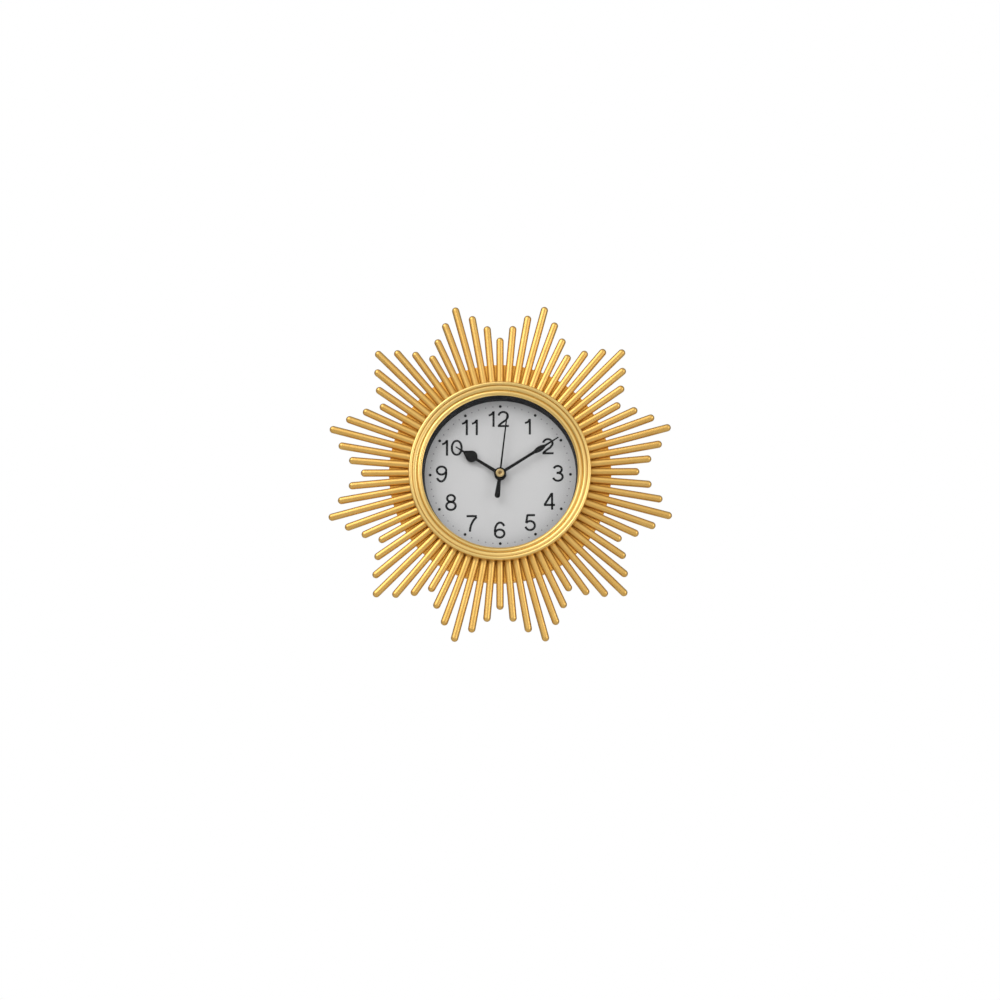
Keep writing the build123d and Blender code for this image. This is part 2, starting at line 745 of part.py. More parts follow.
def quartz_crystal():
    """The crystal's round metal can, lying on the board."""
    x0 = board_x[1] - crystal_length - crystal_from_edge
    return Pos(x0, sum(board_y) / 2, board_level[0] - crystal_r - snug_gap) * Rot(0, 90, 0) * Cylinder(
        crystal_r, crystal_length, align=(Align.CENTER, Align.CENTER, Align.MIN))


# ---- Train ---------------------------------------------------------------------------------------

def rotor_magnet():
    return sleeve(magnet_r, train_arbor_r + snug_gap, *magnet_level, rotor_at)


def rotor_pinion():
    """The rotor's arbor with its pinion, which drives the intermediate wheel."""
    arbor = rod(train_arbor_r, rear_pivot_z, bridge_level[1], rotor_at)
    return arbor + toothed(rotor_pinion_teeth, module_rotor, PINION_TOOTH, past(intermediate_level),
                           rotor_at, rotor_tooth)


def intermediate_wheel():
    wheel = toothed(intermediate_teeth, module_rotor, WHEEL_TOOTH, intermediate_level, intermediate_at,
                    intermediate_tooth)
    wheel -= lightening(intermediate_teeth * module_rotor / 2, intermediate_level, intermediate_at)
    wheel += toothed(intermediate_pinion_teeth, module_seconds, PINION_TOOTH,
                     (intermediate_level[1], seconds_level[1] + pinion_past_wheel), intermediate_at,
                     intermediate_pinion_tooth)
    return wheel + rod(train_arbor_r, rear_pivot_z, bridge_level[1], intermediate_at)


def lightening(pitch_r, level, at, count=4):
    """Round holes through a wheel's web."""
    return [rod(pitch_r * lightening_r, *level, polar(pitch_r * lightening_at, 360 / count * (i + 0.5), at))
            for i in range(count)]


def seconds_wheel():
    wheel = toothed(seconds_teeth, module_seconds, WHEEL_TOOTH, seconds_level, arbor_at, seconds_wheel_tooth)
    wheel -= lightening(seconds_teeth * module_seconds / 2, seconds_level, arbor_at)
    return wheel - rod(seconds_arbor_r + snug_gap, *seconds_level)


def seconds_arbor():
    """The steel arbor that runs from the rear pivot to the second hand, with its pinion."""
    arbor = rod(seconds_arbor_r, rear_pivot_z, second_hand_base + second_hand_t)
    return arbor + toothed(seconds_pinion_teeth, module_third, PINION_TOOTH, past(third_level), arbor_at,
                           seconds_pinion_tooth)


def third_wheel():
    wheel = toothed(third_teeth, module_third, WHEEL_TOOTH, third_level, third_at, third_tooth)
    wheel -= lightening(third_teeth * module_third / 2, third_level, third_at, 5)
    wheel += toothed(third_pinion_teeth, module_centre, PINION_TOOTH,
                     (third_level[1], centre_level[1] + pinion_past_wheel), third_at, third_pinion_tooth)
    return wheel + rod(train_arbor_r, rear_pivot_z, train_top - case_gap, third_at)


def centre_wheel():
    wheel = toothed(centre_teeth, module_centre, WHEEL_TOOTH, centre_level, arbor_at, centre_tooth)
    wheel -= lightening(centre_teeth * module_centre / 2, centre_level, arbor_at, 5)
    return wheel - rod(minute_tube_r + running_gap, *centre_level)


def cannon_pinion():
    """The minute tube: it carries the centre wheel, the cannon pinion and the minute hand."""
    tube = sleeve(minute_tube_r, seconds_arbor_r + tube_gap, centre_level[0] - wheel_gap / 2,
                  minute_hand_base + hand_t + tube_past_hand)
    teeth = toothed(cannon_teeth, module_minute, PINION_TOOTH, past(minute_level), arbor_at, cannon_tooth)
    return tube + (teeth - rod(minute_tube_r, *past(minute_level)))


def minute_wheel():
    """The motion wheel between the cannon pinion and the hour wheel, on a fixed post."""
    wheel = toothed(minute_teeth, module_minute, WHEEL_TOOTH, minute_level, minute_at, minute_tooth)
    wheel -= lightening(minute_teeth * module_minute / 2, minute_level, minute_at)
    wheel += toothed(minute_pinion_teeth, module_hour, PINION_TOOTH,
                     (minute_level[1], hour_level[1] + pinion_past_wheel), minute_at, minute_pinion_tooth)
    return wheel - rod(train_arbor_r + running_gap, minute_level[0], train_top, minute_at)


def hour_wheel():
    wheel = toothed(hour_teeth, module_hour, WHEEL_TOOTH, hour_level, arbor_at, hour_tooth)
    wheel += rod(hour_tube_r, hour_level[1], hour_hand_base + hand_t + tube_past_hand)
    return wheel - rod(minute_tube_r + tube_gap, hour_level[0], hour_hand_base + hand_t + tube_past_hand)


def setting_pinion():
    """The time-setting arbor, with the pinion that turns the minute wheel."""
    arbor = rod(setting_arbor_r, knob_top - knob_socket, train_top - case_gap, setting_at)
    return arbor + toothed(setting_teeth, module_minute, PINION_TOOTH, past(minute_level), setting_at,
                           setting_tooth)


def setting_knob():
    """The finger knob in its well at the back, with a fluted rim."""
    knob = rod(setting_knob_r, movement_to_wall, knob_top, setting_at)
    flute = rod(flute_r, movement_to_wall, knob_top, (setting_knob_r + flute_out, 0))
    knob -= [Pos(*setting_at, 0) * turn * flute for turn in around(flute_count)]
    return knob - rod(setting_arbor_r + snug_gap, knob_top - knob_socket, knob_top, setting_at)


# ---- Battery -------------------------------------------------------------------------------------

battery_x = (battery_shift - battery_length / 2, battery_shift + battery_length / 2)


def along_bay(r, x0, x1):
    """A round bar on the battery's axis."""
    return Pos(x0, bay_middle, battery_z) * Rot(0, 90, 0) * Cylinder(
        r, x1 - x0, align=(Align.CENTER, Align.CENTER, Align.MIN))


def battery_cell():
    """A standard AA cell, positive end to 3 o'clock."""
    can = along_bay(battery_r, battery_x[0], battery_x[1] - nub_h)
    can = fillet(can.edges().filter_by(GeomType.CIRCLE), battery_edge)
    return can + along_bay(nub_r, battery_x[1] - nub_h, battery_x[1])


def contact(wall_x, touch_x):
    """A spring strip against an end wall, bowed in the middle to meet the cell."""
    inward = 1 if touch_x > wall_x else -1
    z0, z1 = movement_to_wall + contact_margin, movement_front - bay_front_wall - contact_margin
    face_x = wall_x + inward * contact_t
    strip = block(min(wall_x, face_x), max(wall_x, face_x), bay_middle - contact_half_width,
                  bay_middle + contact_half_width, z0, z1)
    bow_z = (z0 + contact_flat, z1 - contact_flat)
    bow = make_face([Line((face_x, bow_z[0]), (face_x, bow_z[1])),
                     ThreePointArc((face_x, bow_z[1]), (touch_x, battery_z), (face_x, bow_z[0]))])
    return strip + Pos(0, bay_middle, 0) * extrude(Plane.XZ * bow, nub_r, both=True)


def contact_positive():
    return contact(half_in, battery_x[1] + snug_gap)


def contact_negative():
    return contact(-half_in, battery_x[0] - snug_gap)


# ---- Hands ---------------------------------------------------------------------------------------

def taper(r0, width0, r1, width1):
    """A straight-sided blade along 12 o'clock."""
    return make_face(Polyline((-width0 / 2, r0), (width0 / 2, r0), (width1 / 2, r1), (-width1 / 2, r1),
                              close=True))


def leaf(r0, r1, width):
    """A pointed leaf along 12 o'clock, widest half way."""
    middle = (r0 + r1) / 2
    return make_face([ThreePointArc((0, r0), (width / 2, middle), (0, r1)),
                      ThreePointArc((0, r1), (-width / 2, middle), (0, r0))])


def disc_at(r, distance=0.0):
    return Pos(0, distance) * Circle(r)


def stamped(sketch, bore_r, base, thickness, angle):
    """A flat hand, bored for its arbor and turned to its place on the dial."""
    return Rot(0, 0, -angle) * plate(sketch - Circle(bore_r + snug_gap), base, thickness)


def hour_hand():
    """A stem with a round spade that draws out to a needle."""
    outline = (disc_at(hour_hub_r) + taper(0, hour_hand_stem[0], spade_at, hour_hand_stem[1])
               + disc_at(spade_r, spade_at)
               + taper(spade_at + spade_r * spade_neck, spade_r * spade_neck_width,
                       spade_at + spade_point, hour_needle[0])
               + taper(spade_at, hour_needle[0], hour_hand_length, hour_needle[1]))
    return stamped(outline, hour_tube_r, hour_hand_base, hand_t, hour_hand_angle)


def minute_hand():
    """A stem with a narrow leaf that draws out to a needle."""
    outline = (disc_at(minute_hub_r) + leaf(*leaf_ends, leaf_width)
               + taper(0, minute_hand_stem[0], sum(leaf_ends) / 2, minute_hand_stem[1])
               + taper(leaf_ends[0], minute_needle[0], minute_hand_length, minute_needle[1]))
    return stamped(outline, minute_tube_r, minute_hand_base, hand_t, minute_hand_angle)


def second_hand():
    """A thin blade with a tail that widens to a round end."""
    tail_end = second_hand_tail - second_tail_end_r
    outline = (disc_at(second_hub_r)
               + taper(0, second_hand_blade[0], second_hand_length, second_hand_blade[1])
               + Rot(0, 0, 180) * taper(0, second_tail_neck, tail_end, 2 * second_tail_end_r)
               + disc_at(second_tail_end_r, -tail_end))
    hand = stamped(outline, seconds_arbor_r, second_hand_base, second_hand_t, second_hand_angle)
    return hand + sleeve(second_collar_r, seconds_arbor_r + snug_gap,
                         second_hand_base - second_collar_h, second_hand_base)


def hand_cap():
    """The domed brass cap on the second hand, with a punched dimple."""
    base = second_hand_base + second_hand_t
    cap = rod(cap_r, base, base + cap_h)
    cap = fillet(cap.edges().group_by(Axis.Z)[-1], cap_round)
    return cap - Pos(0, 0, base + cap_h + cap_dimple_r - cap_dimple_depth) * Sphere(cap_dimple_r)


# ---- Write every piece ---------------------------------------------------------------------------

RAY_NAMES = ["rays_shortest", "rays_short", "rays_long", "rays_longest"]
MAKERS = [
    backing_disc, bezel_ring, lens, spacer_ring, dial_plate, dial_face, rear_case, case_screws,
    back_plate, back_plate_screws, movement_case, movement_cover, train_bridge, bridge_screws,
    threaded_bushing, rubber_washer, flat_washer, hex_nut, stator, coil_core, coil_bobbin, coil_winding,
    circuit_board, circuit_chip, quartz_crystal, rotor_magnet, rotor_pinion, intermediate_wheel,
    seconds_wheel, seconds_arbor, third_wheel, centre_wheel, cannon_pinion, minute_wheel, hour_wheel,
    setting_pinion, setting_knob, battery_cell, contact_positive, contact_negative, hour_hand,
    minute_hand, second_hand, hand_cap,
]


def write(name, made):
    """Stand a piece up against the wall and write it."""
    pieces = made if isinstance(made, list) else [made]
    solids = [solid for piece in pieces for solid in piece.solids()]
    stood = [Rot(90, 0, 0) * solid for solid in solids]
    export_step(stood[0] if len(stood) == 1 else Compound(children=stood), f"parts/{name}.step")


os.makedirs("parts", exist_ok=True)
for which in range(ray_classes):
    write(RAY_NAMES[which], rays(which))
for maker in MAKERS:
    write(maker.__name__, maker())
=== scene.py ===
"""Sunburst wall clock: gilding, printed dial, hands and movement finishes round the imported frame."""

from math import cos, pi, radians, sin, tau

import bmesh
import bpy
from bpy.props import FloatProperty, FloatVectorProperty, IntProperty, PointerProperty
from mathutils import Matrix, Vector


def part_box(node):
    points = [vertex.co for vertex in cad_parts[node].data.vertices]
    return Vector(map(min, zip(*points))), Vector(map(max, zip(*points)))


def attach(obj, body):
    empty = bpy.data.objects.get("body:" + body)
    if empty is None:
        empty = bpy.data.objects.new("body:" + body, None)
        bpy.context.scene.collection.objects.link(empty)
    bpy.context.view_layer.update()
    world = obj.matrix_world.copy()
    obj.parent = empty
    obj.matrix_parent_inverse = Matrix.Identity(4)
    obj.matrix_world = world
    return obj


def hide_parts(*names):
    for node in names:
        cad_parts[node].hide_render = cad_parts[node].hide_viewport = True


bl_info = {
    "name": "Sunburst Wall Clock",
    "version": (1, 0, 0),
    "blender": (4, 5, 0),
    "location": "View3D > Sidebar > Clock",
    "description": "Gilded rays and ring, printed dial, hands and movement of a sunburst wall clock",
    "category": "Object",
}

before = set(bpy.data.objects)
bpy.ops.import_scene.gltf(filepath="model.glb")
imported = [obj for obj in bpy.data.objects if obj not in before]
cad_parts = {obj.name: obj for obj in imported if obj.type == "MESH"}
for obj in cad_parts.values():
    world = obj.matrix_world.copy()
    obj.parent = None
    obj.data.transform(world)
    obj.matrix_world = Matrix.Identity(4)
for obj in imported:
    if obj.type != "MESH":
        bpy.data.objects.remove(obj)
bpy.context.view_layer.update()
MM = 0.001


# ---- Sizes read from the frame -------------------------------------------------------------------

def radius_of(node):
    """Half the width of a round node that is centred on the hand arbor."""
    low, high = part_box(node)
    return (high.x - low.x) / 2


RAY_NODES = ("rays_shortest", "rays_short", "rays_long", "rays_longest")
RAY_PITCH = radians(5.0)
RAY_LOW, RAY_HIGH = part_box("rays_longest")
RAY_RADIUS = (RAY_HIGH.y - RAY_LOW.y) / 2
RAY_AXIS_Y = (RAY_HIGH.y + RAY_LOW.y) / 2
RAY_ROOT_GAP = 0.2 * MM
RAY_ROOT = (RAY_RADIUS + RAY_ROOT_GAP / 2) / sin(RAY_PITCH / 2)


def tip_radius(ray_class):
    """How far a length of ray reaches, from its node's width: its nearest ray to 3 o'clock sets it."""
    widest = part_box(RAY_NODES[ray_class])[1].x
    return (widest - RAY_RADIUS) / cos(ray_class * RAY_PITCH) + RAY_RADIUS


BEZEL_LOW, BEZEL_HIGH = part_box("bezel_ring")
BEZEL_RADIUS = radius_of("bezel_ring")
LIP_RADIUS = min(vert.co.xz.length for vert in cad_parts["bezel_ring"].data.vertices)
LENS_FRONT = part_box("lens")[0].y
LENS_RADIUS = radius_of("lens")
DIAL_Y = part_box("dial_face")[0].y
DIAL_RADIUS = radius_of("dial_face")
CAP_LOW, CAP_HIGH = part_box("hand_cap")


# ---- Settings a user would change ----------------------------------------------------------------

def colour(name, what, value):
    return FloatVectorProperty(name=name, description=what, subtype="COLOR", size=4, min=0.0, max=1.0,
                               default=(*value, 1.0))


def length(name, what, value):
    return FloatProperty(name=name, description=what, unit="LENGTH", min=0.0, default=value)


class SunburstSettings(bpy.types.PropertyGroup):
    ray_count: IntProperty(name="Rays", description="Rays round the whole ring", min=12, default=72)
    ray_sides: IntProperty(name="Ray sides", description="Facets round one ray", min=8, default=28)
    ring_steps: IntProperty(name="Ring steps", description="Facets round the bezel", min=48, default=288)
    gold: colour("Gold", "Gilding where light falls on it", (0.735, 0.465, 0.142))
    gold_deep: colour("Deep gold", "Thicker, darker patches of the gilding", (0.66, 0.385, 0.095))
    gold_ring: colour("Ring gold", "Paler gilding of the moulded ring", (0.81, 0.57, 0.205))
    gold_hollow: colour("Hollow gold", "Gilding of the disc between the rays", (1.0, 0.60, 0.13))


class DialSettings(bpy.types.PropertyGroup):
    numeral_height: length("Numeral height", "Height of the tallest hour numerals", 12.4 * MM)
    numeral_circle: length("Numeral circle", "Radius of the circle of numeral centres", 40.9 * MM)
    digit_pitch: length("Digit pitch", "Between the middles of the two digits of 10 and 12", 7.9 * MM)
    eleven_pitch: length("Eleven pitch", "Between the two digits of 11", 7.2 * MM)
    pair_shift: length("Pair shift", "How far 10, 11 and 12 stand to the left of centre", 0.6 * MM)
    stretch: FloatProperty(name="Stretch", description="Width of the digits for their height", default=1.03)
    stroke: length("Stroke", "Width of the numerals' strokes", 1.62 * MM)
    print_height: length("Print height", "Thickness of the printed ink", 0.04 * MM)
    mark_circle: length("Mark circle", "Radius of the circle of hour dots", 50.5 * MM)
    hour_dot: length("Hour dot", "Radius of an hour dot", 1.05 * MM)
    minute_dot: length("Minute dot", "Radius of a minute dot", 0.45 * MM)
    paper: colour("Paper", "Ground colour of the dial", (0.622, 0.622, 0.625))
    ink: colour("Ink", "Numerals and hour dots", (0.012, 0.012, 0.013))
    faint_ink: colour("Faint ink", "Minute dots", (0.17, 0.16, 0.18))


class StudioSettings(bpy.types.PropertyGroup):
    azimuth: FloatProperty(name="Azimuth", description="Camera turn round the clock", subtype="ANGLE",
                           default=radians(1.4))
    elevation: FloatProperty(name="Elevation", description="Camera height as an angle, below the clock",
                             subtype="ANGLE", default=radians(-12.5))
    distance: length("Distance", "Camera to the middle of the dial", 2.15)
    frame_width: length("Frame width", "Width of the view at the clock", 0.717)
    floor_drop: length("Floor drop", "Floor below the hand arbor", 0.62)
    sky: FloatProperty(name="Sky", description="Brightness of the pale room", min=0.0, default=1.0)
    key: FloatProperty(name="Key", description="Watts of the upper left soft box", min=0.0, default=19.0)


def settings():
    scene = bpy.context.scene
    return scene.clock_sunburst, scene.clock_dial, scene.clock_studio


# ---- Shader node groups --------------------------------------------------------------------------

class Net:
    """A small hand for laying out nodes: add one, set its sockets, join it to others."""

    def __init__(self, tree):
        self.tree = tree

    def add(self, kind, inputs=None, **attributes):
        node = self.tree.nodes.new(kind)
        for name, value in attributes.items():
            setattr(node, name, value)
        for key, value in (inputs or {}).items():
            self.feed(node.inputs[key], value)
        return node

    def feed(self, socket, value):
        if isinstance(value, bpy.types.NodeSocket):
            self.tree.links.new(value, socket)
        else:
            socket.default_value = value

    def math(self, operation, a, b=0.0, c=0.0):
        return self.add("ShaderNodeMath", {0: a, 1: b, 2: c}, operation=operation).outputs[0]

    def blend(self, factor, a, b):
        node = self.add("ShaderNodeMix", data_type="RGBA")
        for index, value in ((0, factor), (6, a), (7, b)):
            self.feed(node.inputs[index], value)
        return node.outputs[2]

    def noise(self, vector, scale, detail=2.0, roughness=0.5):
        return self.add("ShaderNodeTexNoise", {"Vector": vector, "Scale": scale, "Detail": detail,
                                               "Roughness": roughness}).outputs["Fac"]

    def ramp(self, value, low, high, to_low=0.0, to_high=1.0):
        return self.add("ShaderNodeMapRange", {0: value, 1: low, 2: high, 3: to_low, 4: to_high}).outputs[0]

    def place(self):
        """Coordinates on the piece itself, so that a finish moves with it."""
        return self.add("ShaderNodeTexCoord").outputs["Object"]

    def along(self, axis):
        """One of the piece's own coordinates."""
        return self.add("ShaderNodeSeparateXYZ", {0: self.place()}).outputs[axis]

    def off_arbor(self):
        """Distance from the hand arbor's axis."""
        flat = self.add("ShaderNodeCombineXYZ", {"X": self.along("X"), "Z": self.along("Z")}).outputs[0]
        return self.add("ShaderNodeVectorMath", {0: flat}, operation="LENGTH").outputs["Value"]

    def worn_edge(self, low, high):
        """One where the surface comes to a corner, none on its flats."""
        return self.ramp(self.add("ShaderNodeNewGeometry").outputs["Pointiness"], low, high)

    def emboss(self, shader, strength, depth, height):
        relief = self.add("ShaderNodeBump", {"Strength": strength, "Distance": depth, "Height": height})
        self.feed(shader.inputs["Normal"], relief.outputs[0])


def new_group(name, inputs, outputs):
    """An empty shader group with named sockets: (name, type, default) in, (name, type) out."""
    tree = bpy.data.node_groups.new(name, "ShaderNodeTree")
    for label, kind, default in inputs:
        socket = tree.interface.new_socket(label, in_out="INPUT", socket_type=f"NodeSocket{kind}")
        socket.default_value = default
    for label, kind in outputs:
        tree.interface.new_socket(label, in_out="OUTPUT", socket_type=f"NodeSocket{kind}")
    net = Net(tree)
    return net, net.add("NodeGroupInput").outputs, net.add("NodeGroupOutput").inputs


FINISH_SOCKETS = [("Color", "Color"), ("Roughness", "Float"), ("Height", "Float")]
RUBBED_GOLD = (0.93, 0.70, 0.36, 1)
DUST_SHADE = (0.62, 0.60, 0.56, 1)
STREAKS = (400.0, 400.0, 4000.0)


def build_gilding():
    """Lacquered gilding: cloudy patches of deeper gold, a fine orange-peel and a drifting sheen."""
    patch_sheen, speck_sheen, speck_rise = 0.07, 0.05, 0.2
    net, given, out = new_group(
        "gilding",
        [("Gold", "Color", (0.8, 0.5, 0.2, 1)), ("Deep Gold", "Color", (0.7, 0.4, 0.1, 1)),
         ("Patch Scale", "Float", 60.0), ("Patch Strength", "Float", 0.5), ("Peel Scale", "Float", 2600.0),
         ("Rub", "Float", 0.0), ("Roughness", "Float", 0.3)],
        FINISH_SOCKETS)
    place = net.place()
    patches = net.ramp(net.noise(place, given["Patch Scale"], 4.0, 0.6), low=0.32, high=0.68)
    share = net.math("MULTIPLY", patches, given["Patch Strength"])
    ground = net.blend(share, given["Gold"], given["Deep Gold"])
    worn = net.math("MULTIPLY", net.worn_edge(low=0.52, high=0.60), given["Rub"])
    net.feed(out["Color"], net.blend(worn, ground, RUBBED_GOLD))
    peel = net.noise(place, given["Peel Scale"], 2.0, 0.55)
    speck = net.noise(place, scale=900.0, detail=3.0, roughness=0.7)
    drift = net.math("MULTIPLY_ADD", patches, patch_sheen, given["Roughness"])
    net.feed(out["Roughness"], net.math("MULTIPLY_ADD", speck, speck_sheen, drift))
    net.feed(out["Height"], net.math("MULTIPLY_ADD", speck, speck_rise, peel))


def build_moulded():
    """Spark-textured moulded plastic: fine grain, faint flow marks and rubbed edges."""
    flow_shade, flow_sheen, edge_shade = 0.35, 0.16, 0.7
    net, given, out = new_group(
        "moulded_grain",
        [("Base", "Color", (0.03, 0.03, 0.03, 1)), ("Rubbed", "Color", (0.1, 0.1, 0.1, 1)),
         ("Grain Scale", "Float", 1800.0), ("Roughness", "Float", 0.5)],
        FINISH_SOCKETS)
    place = net.place()
    flow = net.noise(place, scale=45.0, detail=3.0)
    mottled = net.blend(net.math("MULTIPLY", flow, flow_shade), given["Base"], given["Rubbed"])
    rubbed = net.math("MULTIPLY", net.worn_edge(low=0.51, high=0.58), edge_shade)
    net.feed(out["Color"], net.blend(rubbed, mottled, given["Rubbed"]))
    net.feed(out["Roughness"], net.math("MULTIPLY_ADD", flow, flow_sheen, given["Roughness"]))
    net.feed(out["Height"], net.noise(place, given["Grain Scale"], 3.0, 0.6))


def build_drawn_metal():
    """Drawn or turned metal: fine streaks along one axis, with tarnish in soft clouds."""
    cloud_shade, cloud_sheen, streak_sheen = 0.5, 0.15, 0.12
    net, given, out = new_group(
        "drawn_metal",
        [("Bright", "Color", (0.7, 0.7, 0.7, 1)), ("Tarnish", "Color", (0.4, 0.4, 0.4, 1)),
         ("Streaks", "Vector", STREAKS), ("Roughness", "Float", 0.25)],
        FINISH_SOCKETS)
    place = net.place()
    drawn = net.add("ShaderNodeVectorMath", {0: place, 1: given["Streaks"]}, operation="MULTIPLY")
    streak = net.noise(drawn.outputs[0], 1.0, 3.0, 0.6)
    cloud = net.ramp(net.noise(place, scale=160.0, detail=3.0, roughness=0.6), low=0.4, high=0.75)
    tarnish = net.math("MULTIPLY", cloud, cloud_shade)
    net.feed(out["Color"], net.blend(tarnish, given["Bright"], given["Tarnish"]))
    drift = net.math("MULTIPLY_ADD", cloud, cloud_sheen, given["Roughness"])
    net.feed(out["Roughness"], net.math("MULTIPLY_ADD", streak, streak_sheen, drift))
    net.feed(out["Height"], streak)


def build_dust():
    """A veil of pale dust on what faces up, broken by noise."""
    net, given, out = new_group("dust_veil", [("Color", "Color", (1, 1, 1, 1)), ("Amount", "Float", 0.2)],
                                [("Color", "Color")])
    normal = net.add("ShaderNodeNewGeometry").outputs["Normal"]
    up = net.add("ShaderNodeSeparateXYZ", {0: normal}).outputs["Z"]
    clumps = net.noise(net.place(), scale=220.0, detail=4.0, roughness=0.65)
    broken = net.math("MULTIPLY", net.ramp(up, low=0.35, high=1.0), net.ramp(clumps, low=0.35, high=0.7))
    cover = net.math("MULTIPLY", broken, given["Amount"])
    net.feed(out["Color"], net.blend(cover, given["Color"], DUST_SHADE))


def shell(name, metallic=0.0, **sockets):
    """A material with one Principled shader, with its constants on the shader's own sockets."""
    material = bpy.data.materials.new(name)
    material.use_nodes = True
    net = Net(material.node_tree)
    shader = material.node_tree.nodes["Principled BSDF"]
    shader.inputs["Metallic"].default_value = metallic
    for label, value in sockets.items():
        shader.inputs[label.replace("_", " ")].default_value = value
    return material, net, shader


def dress(net, shader, group, values, bump, depth, dust=0.0):
    """Place a finish group in a material and join its colour, roughness and height."""
    finish = net.add("ShaderNodeGroup", node_tree=bpy.data.node_groups[group])
    for label, value in values.items():
        finish.inputs[label].default_value = value
    shade = finish.outputs["Color"]
    if dust:
        veil = net.add("ShaderNodeGroup", node_tree=bpy.data.node_groups["dust_veil"])
        veil.inputs["Amount"].default_value = dust
        net.feed(veil.inputs["Color"], shade)
        shade = veil.outputs["Color"]
    net.feed(shader.inputs["Base Color"], shade)
    net.feed(shader.inputs["Roughness"], finish.outputs["Roughness"])
    net.emboss(shader, bump, depth, finish.outputs["Height"])


def gilded(name, gold, deep, roughness, patch=0.5, rub=0.0, peel=0.10, patch_scale=60.0, tone=0.0):
    """Satin gold lacquer; tone is how far the pieces that carry a tone of their own differ."""
    material, net, shader = shell(name, metallic=1.0)
    dress(net, shader, "gilding",
          {"Gold": gold, "Deep Gold": deep, "Roughness": roughness, "Patch Strength": patch, "Rub": rub,
           "Patch Scale": patch_scale}, peel, depth=0.05 * MM)
    if tone:
        own = net.add("ShaderNodeAttribute", attribute_name="tone").outputs["Fac"]
        shade = shader.inputs["Base Color"].links[0].from_socket
        net.feed(shader.inputs["Base Color"], net.blend(net.math("MULTIPLY", own, tone), shade, deep))
    return material


def moulded(name, base, rubbed, roughness=0.5, grain=1800.0, bump=0.25, dust=0.0, **sockets):
    """Plain moulded plastic."""
    material, net, shader = shell(name, **sockets)
    dress(net, shader, "moulded_grain",
          {"Base": (*base, 1), "Rubbed": (*rubbed, 1), "Roughness": roughness, "Grain Scale": grain},
          bump, depth=0.06 * MM, dust=dust)
    return material


def metal(name, bright, tarnish, roughness=0.25):
    """Drawn, turned or stamped metal."""
    material, net, shader = shell(name, metallic=1.0)
    dress(net, shader, "drawn_metal",
          {"Bright": (*bright, 1), "Tarnish": (*tarnish, 1), "Streaks": STREAKS, "Roughness": roughness},
          bump=0.12, depth=0.02 * MM)
    return material


def printed_paper():
    """The dial: pale grey sheet with a faint fibre, and painted shade that darkens it towards the rim."""
    shade_factor, rim_shade_begins, rim_shade_share = 0.72, 0.75, 0.45
    fibre_share, fibre_sheen, matt = 0.06, 0.15, 0.55
    material, net, shader = shell("dial_paper", Specular_IOR_Level=0.3)
    # Painted shade: the paper darkens towards its rim, standing in for the shade that the ring and spacer
    # wall cast over the dial's edge.
    painted_rim_shade = net.ramp(net.off_arbor(), rim_shade_begins * DIAL_RADIUS, DIAL_RADIUS, 0.0, rim_shade_share)
    fibre = net.noise(net.place(), scale=1500.0, detail=4.0, roughness=0.7)
    paper = tuple(settings()[1].paper)
    darker = (*(c * shade_factor for c in paper[:3]), 1.0)
    ground = net.blend(painted_rim_shade, paper, darker)
    net.feed(shader.inputs["Base Color"], net.blend(net.math("MULTIPLY", fibre, fibre_share), ground, darker))
    net.feed(shader.inputs["Roughness"], net.math("MULTIPLY_ADD", fibre, fibre_sheen, matt))
    net.emboss(shader, strength=0.08, depth=0.02 * MM, height=fibre)
    return material


def ink(name, shade):
    """Printed ink with a faint mottle."""
    thin_factor, thin_floor, sheen, matt = 1.8, 0.01, 0.2, 0.45
    _, net, shader = shell(name, Specular_IOR_Level=0.1)
    mottle = net.noise(net.place(), scale=2500.0, roughness=0.6)
    thin = (*(min(1.0, c * thin_factor + thin_floor) for c in shade[:3]), 1.0)
    net.feed(shader.inputs["Base Color"], net.blend(mottle, tuple(shade), thin))
    net.feed(shader.inputs["Roughness"], net.math("MULTIPLY_ADD", mottle, sheen, matt))


def clear_glass():
    """The dial's glass: clear seen square on, with a gloss that comes up at a slant."""
    gloss_power, slant_gloss, square_gloss, smear_sheen, polish = 4.0, 0.5, 0.03, 0.05, 0.01
    material, net, shader = shell("lens_clear", Base_Color=(0.02, 0.022, 0.022, 1), Specular_IOR_Level=1.0)
    slant = net.add("ShaderNodeLayerWeight", {"Blend": 0.5}).outputs["Facing"]
    rise = net.math("POWER", slant, gloss_power)
    net.feed(shader.inputs["Alpha"], net.math("MULTIPLY_ADD", rise, slant_gloss, square_gloss))
    smear = net.noise(net.place(), scale=30.0, detail=3.0, roughness=0.6)
    net.feed(shader.inputs["Roughness"], net.math("MULTIPLY_ADD", smear, smear_sheen, polish))
    return material


def tarnished_cap():
    """Turned brass for the hands' cap, with brown laid over its dimple, darkest at the middle."""
    brown, darkest = (0.17, 0.09, 0.025, 1), 0.85
    dark_within, plain_beyond = 0.9 * MM, 1.5 * MM
    material = metal("brass_cap", (0.56, 0.42, 0.20), (0.38, 0.25, 0.09), 0.26)
    net = Net(material.node_tree)
    shader = material.node_tree.nodes["Principled BSDF"]
    bright = shader.inputs["Base Color"].links[0].from_socket
    cover = net.ramp(net.off_arbor(), dark_within, plain_beyond, darkest, 0.0)
    net.feed(shader.inputs["Base Color"], net.blend(cover, bright, brown))


